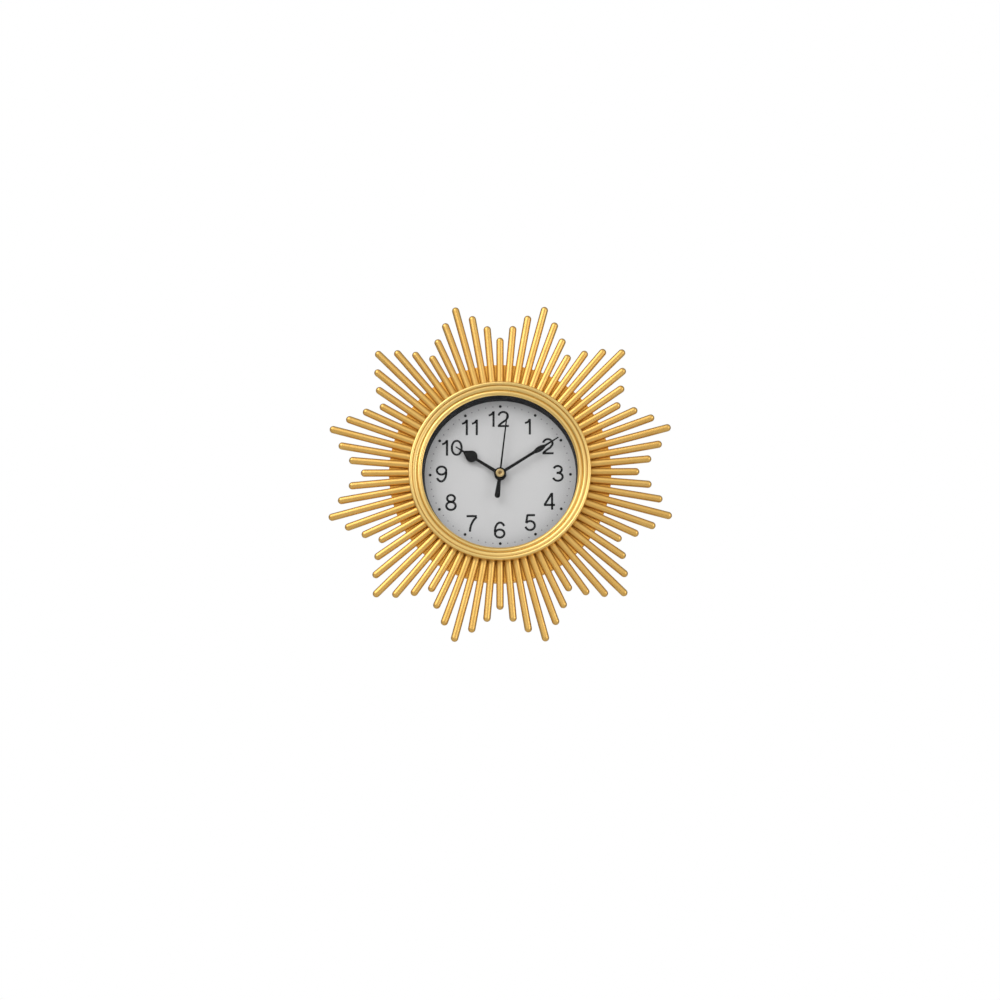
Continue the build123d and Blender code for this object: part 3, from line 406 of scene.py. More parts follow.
def copper_winding():
    """Fine enamelled wire wound along the bobbin, its turns shown as ridges, with painted shade darkening the
    grooves between the turns.
    """
    # Painted shade: the colour between the turns stands in for the shade in the grooves; the crown keeps the
    # copper's own colour.
    between, crown = (0.35, 0.10, 0.03, 1), (0.80, 0.33, 0.12, 1)
    wire_pitch, sheen, polish = 0.12 * MM, 0.08, 0.3
    material, net, shader = shell("copper_winding", metallic=1.0)
    turns = net.math("SINE", net.math("MULTIPLY", net.along("Z"), tau / wire_pitch))
    unshaded_share = net.math("MULTIPLY_ADD", turns, 0.5, 0.5)
    net.feed(shader.inputs["Base Color"], net.blend(unshaded_share, between, crown))
    net.feed(shader.inputs["Roughness"], net.math("MULTIPLY_ADD", turns, sheen, polish))
    net.emboss(shader, strength=0.5, depth=0.05 * MM, height=turns)
    return material


def battery_jacket():
    """The cell's film jacket: dark body with a gold band at the positive end and thin pale rules."""
    low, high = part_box("battery_cell")
    run = high.x - low.x
    dark, gold, bare = (0.012, 0.014, 0.018, 1), (0.55, 0.27, 0.06, 1), (0.6, 0.6, 0.6, 1)
    nub_begins = 1.0 - 2.0 * MM / run
    scuff_sheen, polish = 0.2, 0.22
    stops = [(0.0, (0.45, 0.45, 0.46, 1)), (0.02, dark), (0.10, (0.5, 0.5, 0.5, 1)), (0.11, dark),
             (0.68, (0.62, 0.62, 0.60, 1)), (0.69, gold), (nub_begins, bare)]
    material, net, shader = shell("battery_film", Coat_Weight=0.6)
    bands = net.add("ShaderNodeValToRGB", {"Fac": net.ramp(net.along("X"), low.x, high.x)})
    bands.color_ramp.interpolation = "CONSTANT"
    bands.color_ramp.elements[0].color = stops[0][1]
    bands.color_ramp.elements[1].position = stops[1][0]
    bands.color_ramp.elements[1].color = stops[1][1]
    for position, shade in stops[2:]:
        bands.color_ramp.elements.new(position).color = shade
    scuff = net.noise(net.place(), scale=500.0, detail=4.0, roughness=0.7)
    net.feed(shader.inputs["Base Color"], bands.outputs["Color"])
    net.feed(shader.inputs["Roughness"], net.math("MULTIPLY_ADD", scuff, scuff_sheen, polish))
    return material


def build_materials():
    """Every finish by name, with the CAD nodes that wear it."""
    for build in (build_gilding, build_moulded, build_drawn_metal, build_dust):
        build()
    sun, dial, _ = settings()
    gold, deep, hollow, ring = (tuple(c) for c in (sun.gold, sun.gold_deep, sun.gold_hollow, sun.gold_ring))
    acetal = ((0.72, 0.70, 0.62), (0.80, 0.79, 0.74))
    black = ((0.014, 0.014, 0.015), (0.045, 0.045, 0.047))
    gilded("gilt_ray", gold, deep, 0.33, patch=0.6, peel=0.02, tone=0.22)
    gilded("gilt_ring", ring, (0.74, 0.48, 0.14, 1), 0.24, patch=0.3, rub=0.4, patch_scale=25.0, peel=0.02)
    worn_by = {
        gilded("gilt_disc", hollow, (0.88, 0.46, 0.08, 1), 0.5): ["backing_disc"],
        moulded("case_plastic", *black, 0.52, dust=0.10): ["rear_case", "back_plate"],
        moulded("spacer_plastic", (0.005, 0.005, 0.008), (0.010, 0.010, 0.014), 0.5, bump=0.1,
                Specular_IOR_Level=0.2): ["spacer_ring"],
        moulded("board_card", (0.42, 0.36, 0.27), (0.50, 0.44, 0.34), 0.7, 600.0): ["dial_plate"],
        moulded("movement_plastic", (0.011, 0.011, 0.012), (0.04, 0.04, 0.042), 0.45, 2400.0, dust=0.06):
            ["movement_case", "movement_cover", "setting_knob"],
        moulded("acetal", *acetal, 0.38, 900.0, 0.08, Subsurface_Weight=0.15, Subsurface_Scale=0.5 * MM):
            ["rotor_pinion", "intermediate_wheel", "seconds_wheel", "third_wheel", "centre_wheel",
             "minute_wheel", "hour_wheel", "setting_pinion", "coil_bobbin", "train_bridge"],
        moulded("washer_rubber", (0.012, 0.012, 0.012), (0.03, 0.03, 0.03), 0.75, 1200.0, 0.3):
            ["rubber_washer"],
        moulded("board_laminate", (0.30, 0.16, 0.05), (0.36, 0.21, 0.08), 0.5, 500.0): ["circuit_board"],
        moulded("chip_resin", (0.008, 0.008, 0.008), (0.02, 0.02, 0.02), 0.2, 300.0, 0.15): ["circuit_chip"],
        moulded("hand_paint", (0.003, 0.003, 0.003), (0.009, 0.009, 0.009), 0.42, 1500.0, 0.06,
                Specular_IOR_Level=0.12):
            ["hour_hand", "minute_hand", "second_hand"],
        metal("steel_turned", (0.62, 0.62, 0.63), (0.42, 0.40, 0.38)):
            ["case_screws", "back_plate_screws", "bridge_screws", "seconds_arbor", "quartz_crystal"],
        metal("iron_stamped", (0.40, 0.40, 0.41), (0.24, 0.23, 0.22), 0.4): ["stator", "coil_core"],
        metal("nickel_strip", (0.66, 0.63, 0.57), (0.48, 0.44, 0.38), 0.22):
            ["contact_positive", "contact_negative"],
        metal("ferrite", (0.07, 0.07, 0.075), (0.04, 0.035, 0.03), 0.5): ["rotor_magnet"],
        metal("brass_turned", (0.82, 0.60, 0.27), (0.55, 0.36, 0.13), 0.2):
            ["threaded_bushing", "cannon_pinion"],
        moulded("blackened_steel", (0.010, 0.010, 0.011), (0.03, 0.03, 0.03), 0.4, 900.0, 0.1):
            ["flat_washer", "hex_nut"],
        printed_paper(): ["dial_face"],
        clear_glass(): ["lens"],
        copper_winding(): ["coil_winding"],
        battery_jacket(): ["battery_cell"],
    }
    tarnished_cap()
    ink("dial_ink", dial.ink)
    ink("dial_ink_faint", dial.faint_ink)
    for material, nodes in worn_by.items():
        for node in nodes:
            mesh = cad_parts[node].data
            mesh.materials.clear()
            mesh.materials.append(material)


# ---- Mesh helpers --------------------------------------------------------------------------------

def keep(name, mesh, body, material=None, replaced=()):
    """Make a finished mesh a piece: its place is in its mesh, and it rides on a body."""
    piece = bpy.data.objects.new(name, mesh)
    bpy.context.scene.collection.objects.link(piece)
    if material:
        mesh.materials.clear()
        mesh.materials.append(bpy.data.materials[material])
    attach(piece, body)
    if replaced:
        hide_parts(*replaced)


def smooth(mesh, angle=radians(35)):
    """Smooth shading, kept sharp where faces meet at more than the angle."""
    mesh.shade_smooth()
    mesh.set_sharp_from_angle(angle=angle)
    return mesh


def lathe(name, outline, steps):
    """A turned mesh about the hand arbor from a closed outline of (radius, y)."""
    weld = 1e-7
    mesh = bpy.data.meshes.new(name)
    work = bmesh.new()
    rings = []
    for step in range(steps):
        turn = tau * step / steps
        rings.append([work.verts.new((r * sin(turn), y, r * cos(turn))) for r, y in outline])
    count = len(outline)
    for step in range(steps):
        here, there = rings[step], rings[(step + 1) % steps]
        for i in range(count):
            j = (i + 1) % count
            work.faces.new((here[i], here[j], there[j], there[i]))
    bmesh.ops.remove_doubles(work, verts=work.verts, dist=weld)
    bmesh.ops.dissolve_degenerate(work, edges=work.edges, dist=weld)
    bmesh.ops.recalc_face_normals(work, faces=work.faces)
    work.to_mesh(mesh)
    work.free()
    return smooth(mesh)


def arc(centre, rx, ry, start, end, steps):
    """Points along an elliptical arc, angles in degrees anticlockwise from the right."""
    angles = [radians(start + (end - start) * i / steps) for i in range(steps + 1)]
    return [(centre[0] + rx * cos(a), centre[1] + ry * sin(a)) for a in angles]


# ---- Geometry Nodes ------------------------------------------------------------------------------

def geometry_tree(name, inputs):
    """An empty geometry tree with a geometry input and output and the named inputs."""
    tree = bpy.data.node_groups.new(name, "GeometryNodeTree")
    tree.interface.new_socket("Geometry", in_out="INPUT", socket_type="NodeSocketGeometry")
    tree.interface.new_socket("Geometry", in_out="OUTPUT", socket_type="NodeSocketGeometry")
    for label, kind in inputs:
        tree.interface.new_socket(label, in_out="INPUT", socket_type=f"NodeSocket{kind}")
    net = Net(tree)
    return net, net.add("NodeGroupInput").outputs, net.add("NodeGroupOutput").inputs


def grown(name, tree, values):
    """Run a geometry tree with these inputs and return the plain mesh that it makes."""
    host = bpy.data.objects.new(name, bpy.data.meshes.new(name))
    bpy.context.scene.collection.objects.link(host)
    modifier = host.modifiers.new("grow", "NODES")
    modifier.node_group = tree
    for item in tree.interface.items_tree:
        if item.in_out == "INPUT" and item.name in values:
            modifier[item.identifier] = values[item.name]
    ready = host.evaluated_get(bpy.context.evaluated_depsgraph_get())
    mesh = bpy.data.meshes.new_from_object(ready)
    bpy.data.objects.remove(host)
    mesh.name = name
    return mesh


def round_the_arbor(net, count, radius, y):
    """Points on a circle in the dial's plane, clockwise from 12, with each one's index and angle."""
    points = net.add("GeometryNodePoints", {"Count": count})
    index = net.add("GeometryNodeInputIndex").outputs[0]
    turn = net.math("DIVIDE", net.math("MULTIPLY", index, tau), count)
    place = outward(net, turn, radius, y)
    moved = net.add("GeometryNodeSetPosition", {"Geometry": points.outputs[0], "Position": place})
    return moved.outputs[0], index, turn


def outward(net, turn, radius, y=0.0):
    """The vector to a radius at an angle from 12, at one depth."""
    return net.add("ShaderNodeCombineXYZ", {
        "X": net.math("MULTIPLY", net.math("SINE", turn), radius), "Y": y,
        "Z": net.math("MULTIPLY", net.math("COSINE", turn), radius)}).outputs[0]


def store(net, geometry, label, value):
    return net.add("GeometryNodeStoreNamedAttribute", {"Geometry": geometry, "Name": label, "Value": value},
                   data_type="FLOAT", domain="POINT").outputs[0]


def attribute(net, label):
    return net.add("GeometryNodeInputNamedAttribute", {"Name": label}, data_type="FLOAT").outputs[0]


def planted(net, seats, blank, rotation, material):
    """A blank stood at every seat as real geometry, wearing a material."""
    spin = net.add("FunctionNodeEulerToRotation", {0: rotation}).outputs[0]
    copies = net.add("GeometryNodeInstanceOnPoints", {"Points": seats, "Instance": blank, "Rotation": spin})
    real = net.add("GeometryNodeRealizeInstances", {"Geometry": copies.outputs[0]}).outputs[0]
    return net.add("GeometryNodeSetMaterial", {"Geometry": real, "Material": material}).outputs[0]


# How many times the run of ray lengths repeats round the ring.
STAR_REPEATS = 12.0
TONE_SEED = 7


def sunburst_tree():
    """Rays round the ring: one blank instanced at each pitch, its tip then pushed out to its length."""
    net, given, out = geometry_tree("sunburst_rays", [
        ("Ray", "Object"), ("Count", "Int"), ("Axis Height", "Float"), ("Blank Reach", "Float"),
        ("Shortest Reach", "Float"), ("Longest Reach", "Float"), ("Seed", "Int"), ("Material", "Material")])
    seats, index, turn = round_the_arbor(net, given["Count"], 0.0, given["Axis Height"])
    period = net.math("DIVIDE", given["Count"], STAR_REPEATS)
    phase = net.math("MODULO", index, period)
    off_hour = net.math("MINIMUM", phase, net.math("SUBTRACT", period, phase))
    share = net.math("DIVIDE", off_hour, net.math("MULTIPLY", period, 0.5))
    span = net.math("SUBTRACT", given["Longest Reach"], given["Shortest Reach"])
    reach = net.math("MULTIPLY_ADD", share, span, given["Shortest Reach"])
    seats = store(net, seats, "push", net.math("SUBTRACT", reach, given["Blank Reach"]))
    seats = store(net, seats, "turn", turn)
    tone = net.add("FunctionNodeRandomValue", {2: 0.0, 3: 1.0, "Seed": given["Seed"]}, data_type="FLOAT")
    seats = store(net, seats, "tone", tone.outputs[1])
    blank = net.add("GeometryNodeObjectInfo", {"Object": given["Ray"]}, transform_space="ORIGINAL")
    facing = net.add("ShaderNodeCombineXYZ", {"Y": turn}).outputs[0]
    rays = planted(net, seats, blank.outputs["Geometry"], facing, given["Material"])
    shove = net.math("MULTIPLY", attribute(net, "push"), attribute(net, "tip"))
    offset = outward(net, attribute(net, "turn"), shove)
    pushed = net.add("GeometryNodeSetPosition", {"Geometry": rays, "Offset": offset}).outputs[0]
    net.feed(out["Geometry"], pushed)
    return net.tree


def dial_marks_tree():
    """Small flat marks round the dial, with every so-many left out for the hour dots."""
    facets, flat_on_dial = 24, (pi / 2, 0, 0)
    net, given, out = geometry_tree("dial_marks", [
        ("Count", "Int"), ("Circle", "Float"), ("Mark Radius", "Float"), ("Height", "Float"),
        ("Dial", "Float"), ("Skip Every", "Int"), ("Material", "Material")])
    half = net.math("MULTIPLY", given["Height"], 0.5)
    level = net.math("SUBTRACT", given["Dial"], half)
    seats, index, _ = round_the_arbor(net, given["Count"], given["Circle"], level)
    on_skip = net.math("LESS_THAN", net.math("MODULO", index, given["Skip Every"]), 0.5)
    skipped = net.math("MULTIPLY", on_skip, net.math("LESS_THAN", given["Skip Every"], given["Count"]))
    kept = net.add("GeometryNodeDeleteGeometry", {"Geometry": seats, "Selection": skipped}).outputs[0]
    dot = net.add("GeometryNodeMeshCylinder", {"Vertices": facets, "Radius": given["Mark Radius"],
                                               "Depth": given["Height"]}).outputs["Mesh"]
    net.feed(out["Geometry"], planted(net, kept, dot, flat_on_dial, given["Material"]))
    return net.tree


# ---- Pieces --------------------------------------------------------------------------------------

RAY_CREASE = radians(50)


def ray_blank(reach, sides):
    """One ray along +Z from its root, with its tip's vertices marked so that they can be pushed out."""
    shoulder = reach - RAY_RADIUS
    below_shoulder, tip_rings = 0.35 * MM, 9
    profile = [(0.0, RAY_ROOT, 0.0), (RAY_RADIUS, RAY_ROOT, 0.0),
               (RAY_RADIUS, shoulder - below_shoulder, 1.0)]
    profile += [(RAY_RADIUS * cos(a), shoulder + RAY_RADIUS * sin(a), 1.0)
                for a in (radians(90 * i / tip_rings) for i in range(tip_rings + 1))]
    work = bmesh.new()
    tip = work.verts.layers.float.new("tip")
    rings = []
    for r, z, mark in profile:
        ring = []
        for side in range(sides if r > 1e-6 else 1):
            turn = tau * side / sides
            vert = work.verts.new((r * cos(turn), r * sin(turn), z))
            vert[tip] = mark
            ring.append(vert)
        rings.append(ring)
    for low, high in zip(rings, rings[1:]):
        for side in range(sides):
            after = (side + 1) % sides
            corners = [low[side % len(low)], low[after % len(low)], high[after % len(high)],
                       high[side % len(high)]]
            work.faces.new(list(dict.fromkeys(corners)))
    bmesh.ops.recalc_face_normals(work, faces=work.faces)
    mesh = bpy.data.meshes.new("ray_blank")
    work.to_mesh(mesh)
    work.free()
    return bpy.data.objects.new("ray_blank", smooth(mesh, RAY_CREASE))


class CLOCK_OT_rays(bpy.types.Operator):
    """Grow the gilded rays round the ring"""
    bl_idname = "clock.rays"
    bl_label = "Sunburst rays"

    def execute(self, context):
        sun = settings()[0]
        shortest, longest = tip_radius(0), tip_radius(len(RAY_NODES) - 1)
        blank = ray_blank(shortest, sun.ray_sides)
        mesh = grown("sunburst_rays", sunburst_tree(), {
            "Ray": blank, "Count": sun.ray_count, "Axis Height": RAY_AXIS_Y, "Blank Reach": shortest,
            "Shortest Reach": shortest, "Longest Reach": longest, "Seed": TONE_SEED,
            "Material": bpy.data.materials["gilt_ray"]})
        bpy.data.objects.remove(blank)
        keep("sunburst_rays", smooth(mesh, RAY_CREASE), "case", replaced=RAY_NODES)
        return {"FINISHED"}


def bow(start, end, bulge, steps=12):
    """Points along a shallow curve from start to end, swelling to the left of the way by the bulge."""
    run = Vector(end) - Vector(start)
    aside = Vector((-run.y, run.x)).normalized() * bulge
    return [tuple(Vector(start) + run * (i / steps) + aside * sin(pi * i / steps)) for i in range(steps + 1)]


# Sizes of the ring's section. The stations are in millimetres, out from the lip and forward of the glass.
BEZEL_GAP = 0.2 * MM
BEZEL_EASE = 0.25 * MM
OUTER_BEAD = 1.4 * MM
LINE_GAP, LINE_DEPTH = 0.15 * MM, 0.6 * MM
SWELL_GAP, SWELL_DROP, SWELL_BULGE = 0.2 * MM, 0.35 * MM, 0.75 * MM
INNER_BEAD_BULGE = 0.55 * MM
BEAD_ARC = [radians(10 * i) for i in range(18)]
SWELL_END, GROOVE, INNER_BEAD_FROM, INNER_BEAD_TO, LIP_STEP = (
    (3.3, 1.35), (3.1, 0.95), (2.9, 1.25), (0.5, 0.45), (0.25, 0.5))


def from_lip(station):
    """A station as (radius, y)."""
    out, forward = station
    return LIP_RADIUS + out * MM, LENS_FRONT - forward * MM


def bezel_outline():
    """The moulded ring's section as (radius, y): bead, line, broad swell, groove, inner bead and lip."""
    outer, crest, back = BEZEL_RADIUS, BEZEL_LOW.y, BEZEL_HIGH.y
    skirt_out = RAY_ROOT - BEZEL_GAP
    foot = RAY_AXIS_Y - RAY_RADIUS - BEZEL_GAP
    seat_r = LENS_RADIUS + BEZEL_GAP
    bead_y = crest + OUTER_BEAD
    line_r = outer - 2 * OUTER_BEAD - LINE_GAP
    points = [(seat_r, back), (skirt_out, back), (skirt_out, foot), (outer - BEZEL_EASE, foot),
              (outer, foot - BEZEL_EASE)]
    points += [(outer - OUTER_BEAD + OUTER_BEAD * cos(a), bead_y - OUTER_BEAD * sin(a)) for a in BEAD_ARC]
    points += [(line_r, bead_y + LINE_DEPTH)]
    points += bow((line_r - SWELL_GAP, bead_y + SWELL_DROP), from_lip(SWELL_END), SWELL_BULGE)
    points += [from_lip(GROOVE)]
    points += bow(from_lip(INNER_BEAD_FROM), from_lip(INNER_BEAD_TO), INNER_BEAD_BULGE)
    points += [from_lip(LIP_STEP), (LIP_RADIUS, LENS_FRONT - BEZEL_EASE), (LIP_RADIUS, LENS_FRONT),
               (seat_r, LENS_FRONT)]
    return points


class CLOCK_OT_bezel(bpy.types.Operator):
    """Turn the moulded gold ring and finish it"""
    bl_idname = "clock.bezel"
    bl_label = "Bezel ring"

    def execute(self, context):
        mesh = lathe("bezel_moulding", bezel_outline(), settings()[0].ring_steps)
        keep("bezel_moulding", mesh, "case", "gilt_ring", ["bezel_ring"])
        return {"FINISHED"}


class CLOCK_OT_dial_marks(bpy.types.Operator):
    """Print the hour dots and the faint minute dots"""
    bl_idname = "clock.dial_marks"
    bl_label = "Dial marks"

    def execute(self, context):
        dial = settings()[1]
        tree = dial_marks_tree()
        for name, count, radius, skip, material in (
                ("hour_dots", 12, dial.hour_dot, 12, "dial_ink"),
                ("minute_dots", 60, dial.minute_dot, 5, "dial_ink_faint")):
            mesh = grown(name, tree, {
                "Count": count, "Circle": dial.mark_circle, "Mark Radius": radius, "Dial": DIAL_Y,
                "Height": dial.print_height, "Skip Every": skip, "Material": bpy.data.materials[material]})
            keep(name, mesh, "case")
        return {"FINISHED"}


# Each digit is a few strokes of the pen's centre line in a box one unit high, centred on x = 0.
# PEN is about the stroke's width in that box, so that outer edges come near 0 and 1.
PEN = 0.128
TOP, FOOT = 1 - PEN / 2, PEN / 2


def digit_strokes(digit):
    """The centre lines of one digit's strokes."""
    bowl = arc((0, 0.295), 0.262, 0.235, 0, 360, 32)
    if digit == "0":
        return [[(0.275 * abs(cos(a)) ** 0.9 * (1 if cos(a) > 0 else -1), 0.5 + 0.44 * sin(a))
                 for a in (tau * i / 40 for i in range(41))]]
    if digit == "1":
        return [[(0.07, 0.0), (0.07, 1.0)],
                arc((-0.22, 1.06), 0.29, 0.32, -88, -14, 8)]
    if digit == "2":
        return [arc((0.0, 0.68), 0.262, 0.26, 172, -28, 20)
                + [(0.13, 0.42), (-0.06, 0.28), (-0.20, 0.155), (-0.27, 0.045)],
                [(-0.305, FOOT), (0.325, FOOT)]]
    if digit == "3":
        return [arc((-0.01, 0.735), 0.225, 0.205, 165, -90, 20) + [(-0.08, 0.53)],
                [(-0.08, 0.53)] + arc((-0.005, 0.295), 0.268, 0.235, 92, -168, 22)]
    if digit == "4":
        return [[(0.14, 0.0), (0.14, 1.0)], [(0.115, 0.955), (-0.285, 0.285)],
                [(-0.325, 0.285), (0.305, 0.285)]]
    if digit == "5":
        return [[(0.275, TOP), (-0.165, TOP)], [(-0.150, 0.965), (-0.225, 0.475)],
                arc((-0.005, 0.325), 0.265, 0.265, 146, -166, 22)]
    if digit in "69":
        strokes = [bowl, arc((0.02, 0.44), 0.285, 0.50, 36, 188, 20)]
        return strokes if digit == "6" else [[(-x, 1 - y) for x, y in stroke] for stroke in strokes]
    if digit == "7":
        return [[(-0.295, TOP), (0.285, TOP)], arc((0.62, -0.02), 0.72, 1.02, 118, 178, 12)]
    return [bowl, arc((0, 0.74), 0.218, 0.20, 0, 360, 28)]


def ribbon(work, path, width, place, depth):
    """A flat stroke along a path: place maps the path's plane to space, depth is the ink's thickness."""
    closed = (Vector(path[0]) - Vector(path[-1])).length < 1e-6
    points = [Vector(p) for p in (path[:-1] if closed else path)]
    count = len(points)
    sides = []
    for i, point in enumerate(points):
        before = points[i - 1] if closed or i else point
        after = points[(i + 1) % count] if closed or i < count - 1 else point
        run = (after - before).normalized()
        across = Vector((-run.y, run.x)) * width / 2
        sides.append([work.verts.new(place(corner, lift)) for lift in (0.0, depth)
                      for corner in (point + across, point - across)])
    links = count if closed else count - 1
    for i in range(links):
        a, b = sides[i], sides[(i + 1) % count]
        for p, q in ((2, 3), (1, 0), (0, 2), (3, 1)):
            work.faces.new((a[p], a[q], b[q], b[p]))
    if not closed:
        for end in (sides[0], sides[-1]):
            work.faces.new((end[0], end[1], end[3], end[2]))


# Digits that are less tall than the rest, as a share of the numeral height, and how far each hour
# stands off its place on the circle, in millimetres to the right and up.
DIGIT_HEIGHTS = {"0": 0.94, "1": 0.935, "2": 0.965}
HOUR_NUDGES = {2: (-1.1, 0.4), 3: (0.6, 0.8), 4: (0.0, 0.75), 5: (1.0, 0.2), 6: (-0.4, 0.3), 7: (0.0, -0.3),
               8: (0.0, 0.25), 9: (-1.4, 0.75), 10: (0.65, -0.4), 11: (-0.4, -0.3), 12: (-1.2, 0.3)}


class CLOCK_OT_numerals(bpy.types.Operator):
    """Draw the twelve hour numerals and print them on the dial"""
    bl_idname = "clock.numerals"
    bl_label = "Dial numerals"

    def execute(self, context):
        dial = settings()[1]
        size = dial.numeral_height
        work = bmesh.new()
        for hour in range(1, 13):
            turn = tau * hour / 12
            text = str(hour)
            pair = len(text) - 1
            aside, up = (step * MM for step in HOUR_NUDGES.get(hour, (0.0, 0.0)))
            advance = (dial.eleven_pitch if text == "11" else dial.digit_pitch) / size
            for i, digit in enumerate(text):
                shift = advance * (i - pair / 2) - pair * dial.pair_shift / size
                tall = DIGIT_HEIGHTS.get(digit, 1.0)

                def place(corner, lift, shift=shift, turn=turn, tall=tall, aside=aside, up=up):
                    return (dial.numeral_circle * sin(turn) + (corner.x + shift) * size + aside,
                            DIAL_Y - lift,
                            dial.numeral_circle * cos(turn) + (corner.y - 0.5) * tall * size + up)

                for stroke in digit_strokes(digit):
                    wide = [(x * dial.stretch, y) for x, y in stroke]
                    ribbon(work, wide, dial.stroke / size, place, dial.print_height)
        bmesh.ops.recalc_face_normals(work, faces=work.faces)
        mesh = bpy.data.meshes.new("dial_numerals")
        work.to_mesh(mesh)
        work.free()
        keep("dial_numerals", mesh, "case", "dial_ink")
        return {"FINISHED"}


class CLOCK_OT_hand_cap(bpy.types.Operator):
    """Turn the domed brass cap with its punched dimple"""
    bl_idname = "clock.hand_cap"
    bl_label = "Hand cap"

    def execute(self, context):
        steps, ease = 96, 0.08 * MM
        quarter, dimple_arc = [radians(9 * i) for i in range(11)], [radians(15 * i) for i in range(1, 6)]
        r = (CAP_HIGH.x - CAP_LOW.x) / 2
        back, front = CAP_HIGH.y, CAP_LOW.y
        rise = back - front
        wall, dome = rise * 0.38, rise * 0.62
        dimple, dimple_lip, lip_drop, dimple_depth = 1.2 * MM, 0.15 * MM, 0.06 * MM, 0.42 * MM
        outline = [(0.0, back), (r - ease, back), (r, back - ease)]
        outline += [(r - dome * (1 - cos(a)), back - wall - dome * sin(a)) for a in quarter]
        outline += [(dimple + dimple_lip, front), (dimple, front + lip_drop)]
        outline += [(dimple * cos(a), front + lip_drop + dimple_depth * sin(a)) for a in dimple_arc]
        outline += [(0.0, front + lip_drop + dimple_depth)]
        keep("brass_cap", lathe("brass_cap", outline, steps), "seconds", "brass_cap", ["hand_cap"])
        return {"FINISHED"}


class CLOCK_OT_finishes(bpy.types.Operator):
    """Build every material and dress the frame's own nodes"""
    bl_idname = "clock.finishes"
    bl_label = "Materials"

    def execute(self, context):
        build_materials()
        return {"FINISHED"}


# ---- Stage ---------------------------------------------------------------------------------------

FLOOR_HALF = 6.0
FLOOR_SHADE, FLOOR_MOTTLE = (0.86, 0.86, 0.86), 0.97
KEY_PLACE, KEY_SIZE = (-0.95, -1.25, 1.15), (1.5, 1.5)
FILL_PLACE, FILL_SIZE, FILL_SHARE = (1.3, -1.0, 0.1), (0.6, 1.2), 0.3
# The room's glow from in front of the clock to behind it, and from below to above.
GLOW_BEFORE, GLOW_BEHIND, GLOW_BELOW, GLOW_ABOVE = 0.95, 0.25, 0.80, 1.10
SENSOR_WIDTH, LENS_SHIFT_UP, CLIP = 36.0, -0.0276, (0.05, 50.0)


def pale_floor():
    """The floor's matt shade with a very faint mottle."""
    material, net, shader = shell("floor_pale", Roughness=0.6)
    darker = tuple(c * FLOOR_MOTTLE for c in FLOOR_SHADE)
    net.feed(shader.inputs["Base Color"],
             net.blend(net.noise(net.place(), scale=3.0), (*FLOOR_SHADE, 1), (*darker, 1)))
    return material


def soft_box(name, place, size, watts):
    """An area light aimed at the hand arbor."""
    lamp = bpy.data.lights.new(name, "AREA")
    lamp.shape = "RECTANGLE"
    lamp.size, lamp.size_y = size
    lamp.energy = watts
    light = bpy.data.objects.new(name, lamp)
    light.location = place
    light.rotation_euler = (-Vector(place)).to_track_quat("-Z", "Y").to_euler()
    bpy.context.scene.collection.objects.link(light)


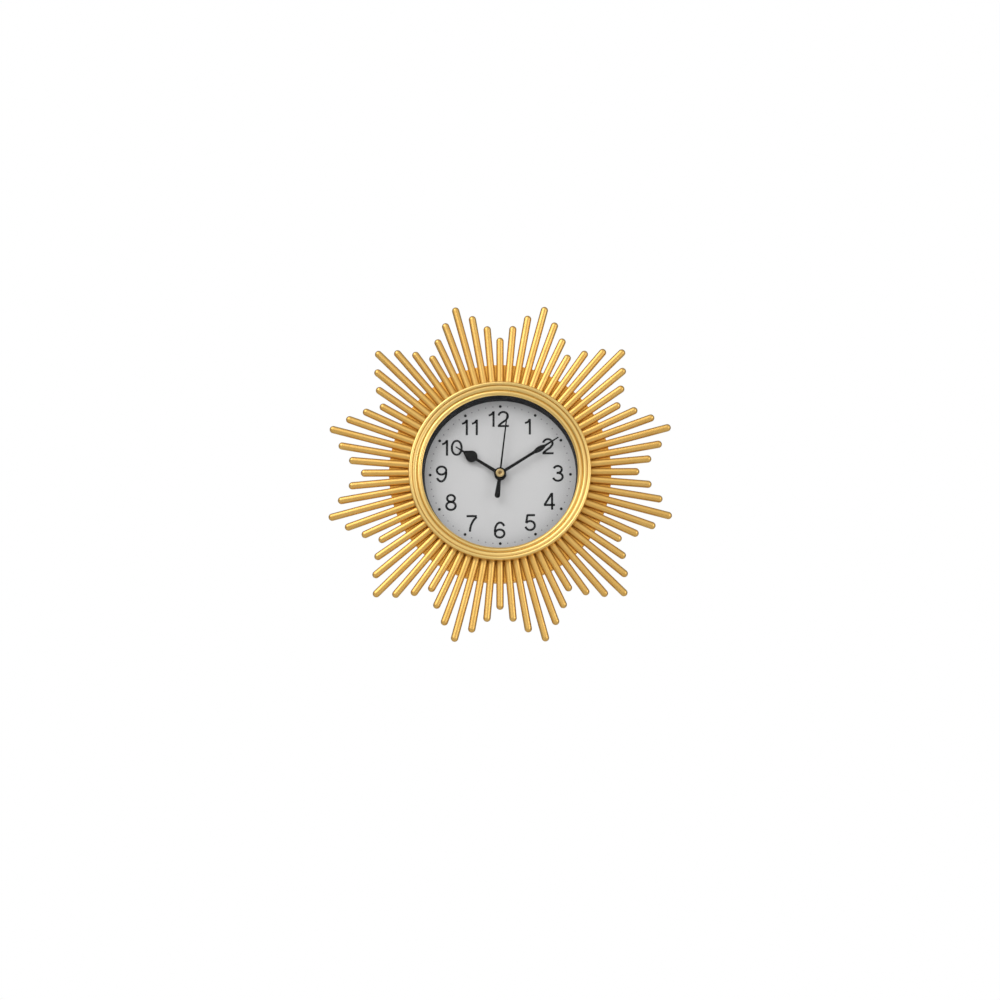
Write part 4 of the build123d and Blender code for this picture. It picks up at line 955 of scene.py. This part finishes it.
class CLOCK_OT_stage(bpy.types.Operator):
    """Set out the floor, lights, pale room and camera"""
    bl_idname = "clock.stage"
    bl_label = "Studio stage"

    def execute(self, context):
        studio = settings()[2]
        scene = context.scene
        floor = bpy.data.meshes.new("studio_floor")
        corners = ((-1, -1), (1, -1), (1, 1), (-1, 1))
        floor.from_pydata([(x * FLOOR_HALF, y * FLOOR_HALF, -studio.floor_drop) for x, y in corners], [],
                          [(0, 1, 2, 3)])
        floor.materials.append(pale_floor())
        stage = bpy.data.objects.new("studio_floor", floor)
        scene.collection.objects.link(stage)

        world = bpy.data.worlds.new("pale_room")
        world.use_nodes = True
        net = Net(world.node_tree)
        outlook = net.add("ShaderNodeTexCoord").outputs["Generated"]
        way = net.add("ShaderNodeSeparateXYZ", {0: outlook}).outputs
        before = net.ramp(way["Y"], 0.5, -1.0, GLOW_BEHIND, GLOW_BEFORE)
        above = net.ramp(way["Z"], -1.0, 1.0, GLOW_BELOW, GLOW_ABOVE)
        glow = net.math("MULTIPLY", net.math("MULTIPLY", before, above), studio.sky)
        seen = net.add("ShaderNodeLightPath").outputs["Is Camera Ray"]
        backdrop = world.node_tree.nodes["Background"]
        backdrop.inputs["Color"].default_value = (1.0, 1.0, 1.0, 1)
        net.feed(backdrop.inputs["Strength"], net.math("MAXIMUM", glow, seen))
        scene.world = world
        scene.view_settings.view_transform = "Standard"

        soft_box("key_upper_left", KEY_PLACE, KEY_SIZE, studio.key)
        soft_box("fill_right", FILL_PLACE, FILL_SIZE, studio.key * FILL_SHARE)

        camera = bpy.data.cameras.new("view")
        camera.sensor_width = SENSOR_WIDTH
        camera.lens = camera.sensor_width * studio.distance / studio.frame_width
        camera.shift_y = LENS_SHIFT_UP
        camera.clip_start, camera.clip_end = CLIP
        centre = Vector((0, RAY_AXIS_Y, 0))
        a, e = studio.azimuth, studio.elevation
        back = Vector((sin(a) * cos(e), -cos(a) * cos(e), sin(e)))
        view = bpy.data.objects.new("view", camera)
        view.location = centre + back * studio.distance
        view.rotation_euler = back.to_track_quat("Z", "Y").to_euler()
        scene.collection.objects.link(view)
        scene.camera = view
        return {"FINISHED"}


class CLOCK_PT_panel(bpy.types.Panel):
    """Lists the steps that dress the clock"""
    bl_idname = "CLOCK_PT_panel"
    bl_label = "Sunburst clock"
    bl_space_type = "VIEW_3D"
    bl_region_type = "UI"
    bl_category = "Clock"

    def draw(self, context):
        for step in STEPS:
            self.layout.operator(step.bl_idname)
        for group in settings():
            box = self.layout.box()
            for label in group.__annotations__:
                box.prop(group, label)


SETTINGS = {"clock_sunburst": SunburstSettings, "clock_dial": DialSettings, "clock_studio": StudioSettings}
STEPS = (CLOCK_OT_finishes, CLOCK_OT_rays, CLOCK_OT_bezel, CLOCK_OT_dial_marks, CLOCK_OT_numerals,
         CLOCK_OT_hand_cap, CLOCK_OT_stage)
CLASSES = (*SETTINGS.values(), *STEPS, CLOCK_PT_panel)


def register():
    for cls in CLASSES:
        bpy.utils.register_class(cls)
    for name, group in SETTINGS.items():
        setattr(bpy.types.Scene, name, PointerProperty(type=group))


def unregister():
    for name in SETTINGS:
        delattr(bpy.types.Scene, name)
    for cls in reversed(CLASSES):
        bpy.utils.unregister_class(cls)


def main():
    register()
    for step in STEPS:
        family, name = step.bl_idname.split(".")
        getattr(getattr(bpy.ops, family), name)()
    bpy.context.view_layer.update()


if __name__ == "__main__":
    main()
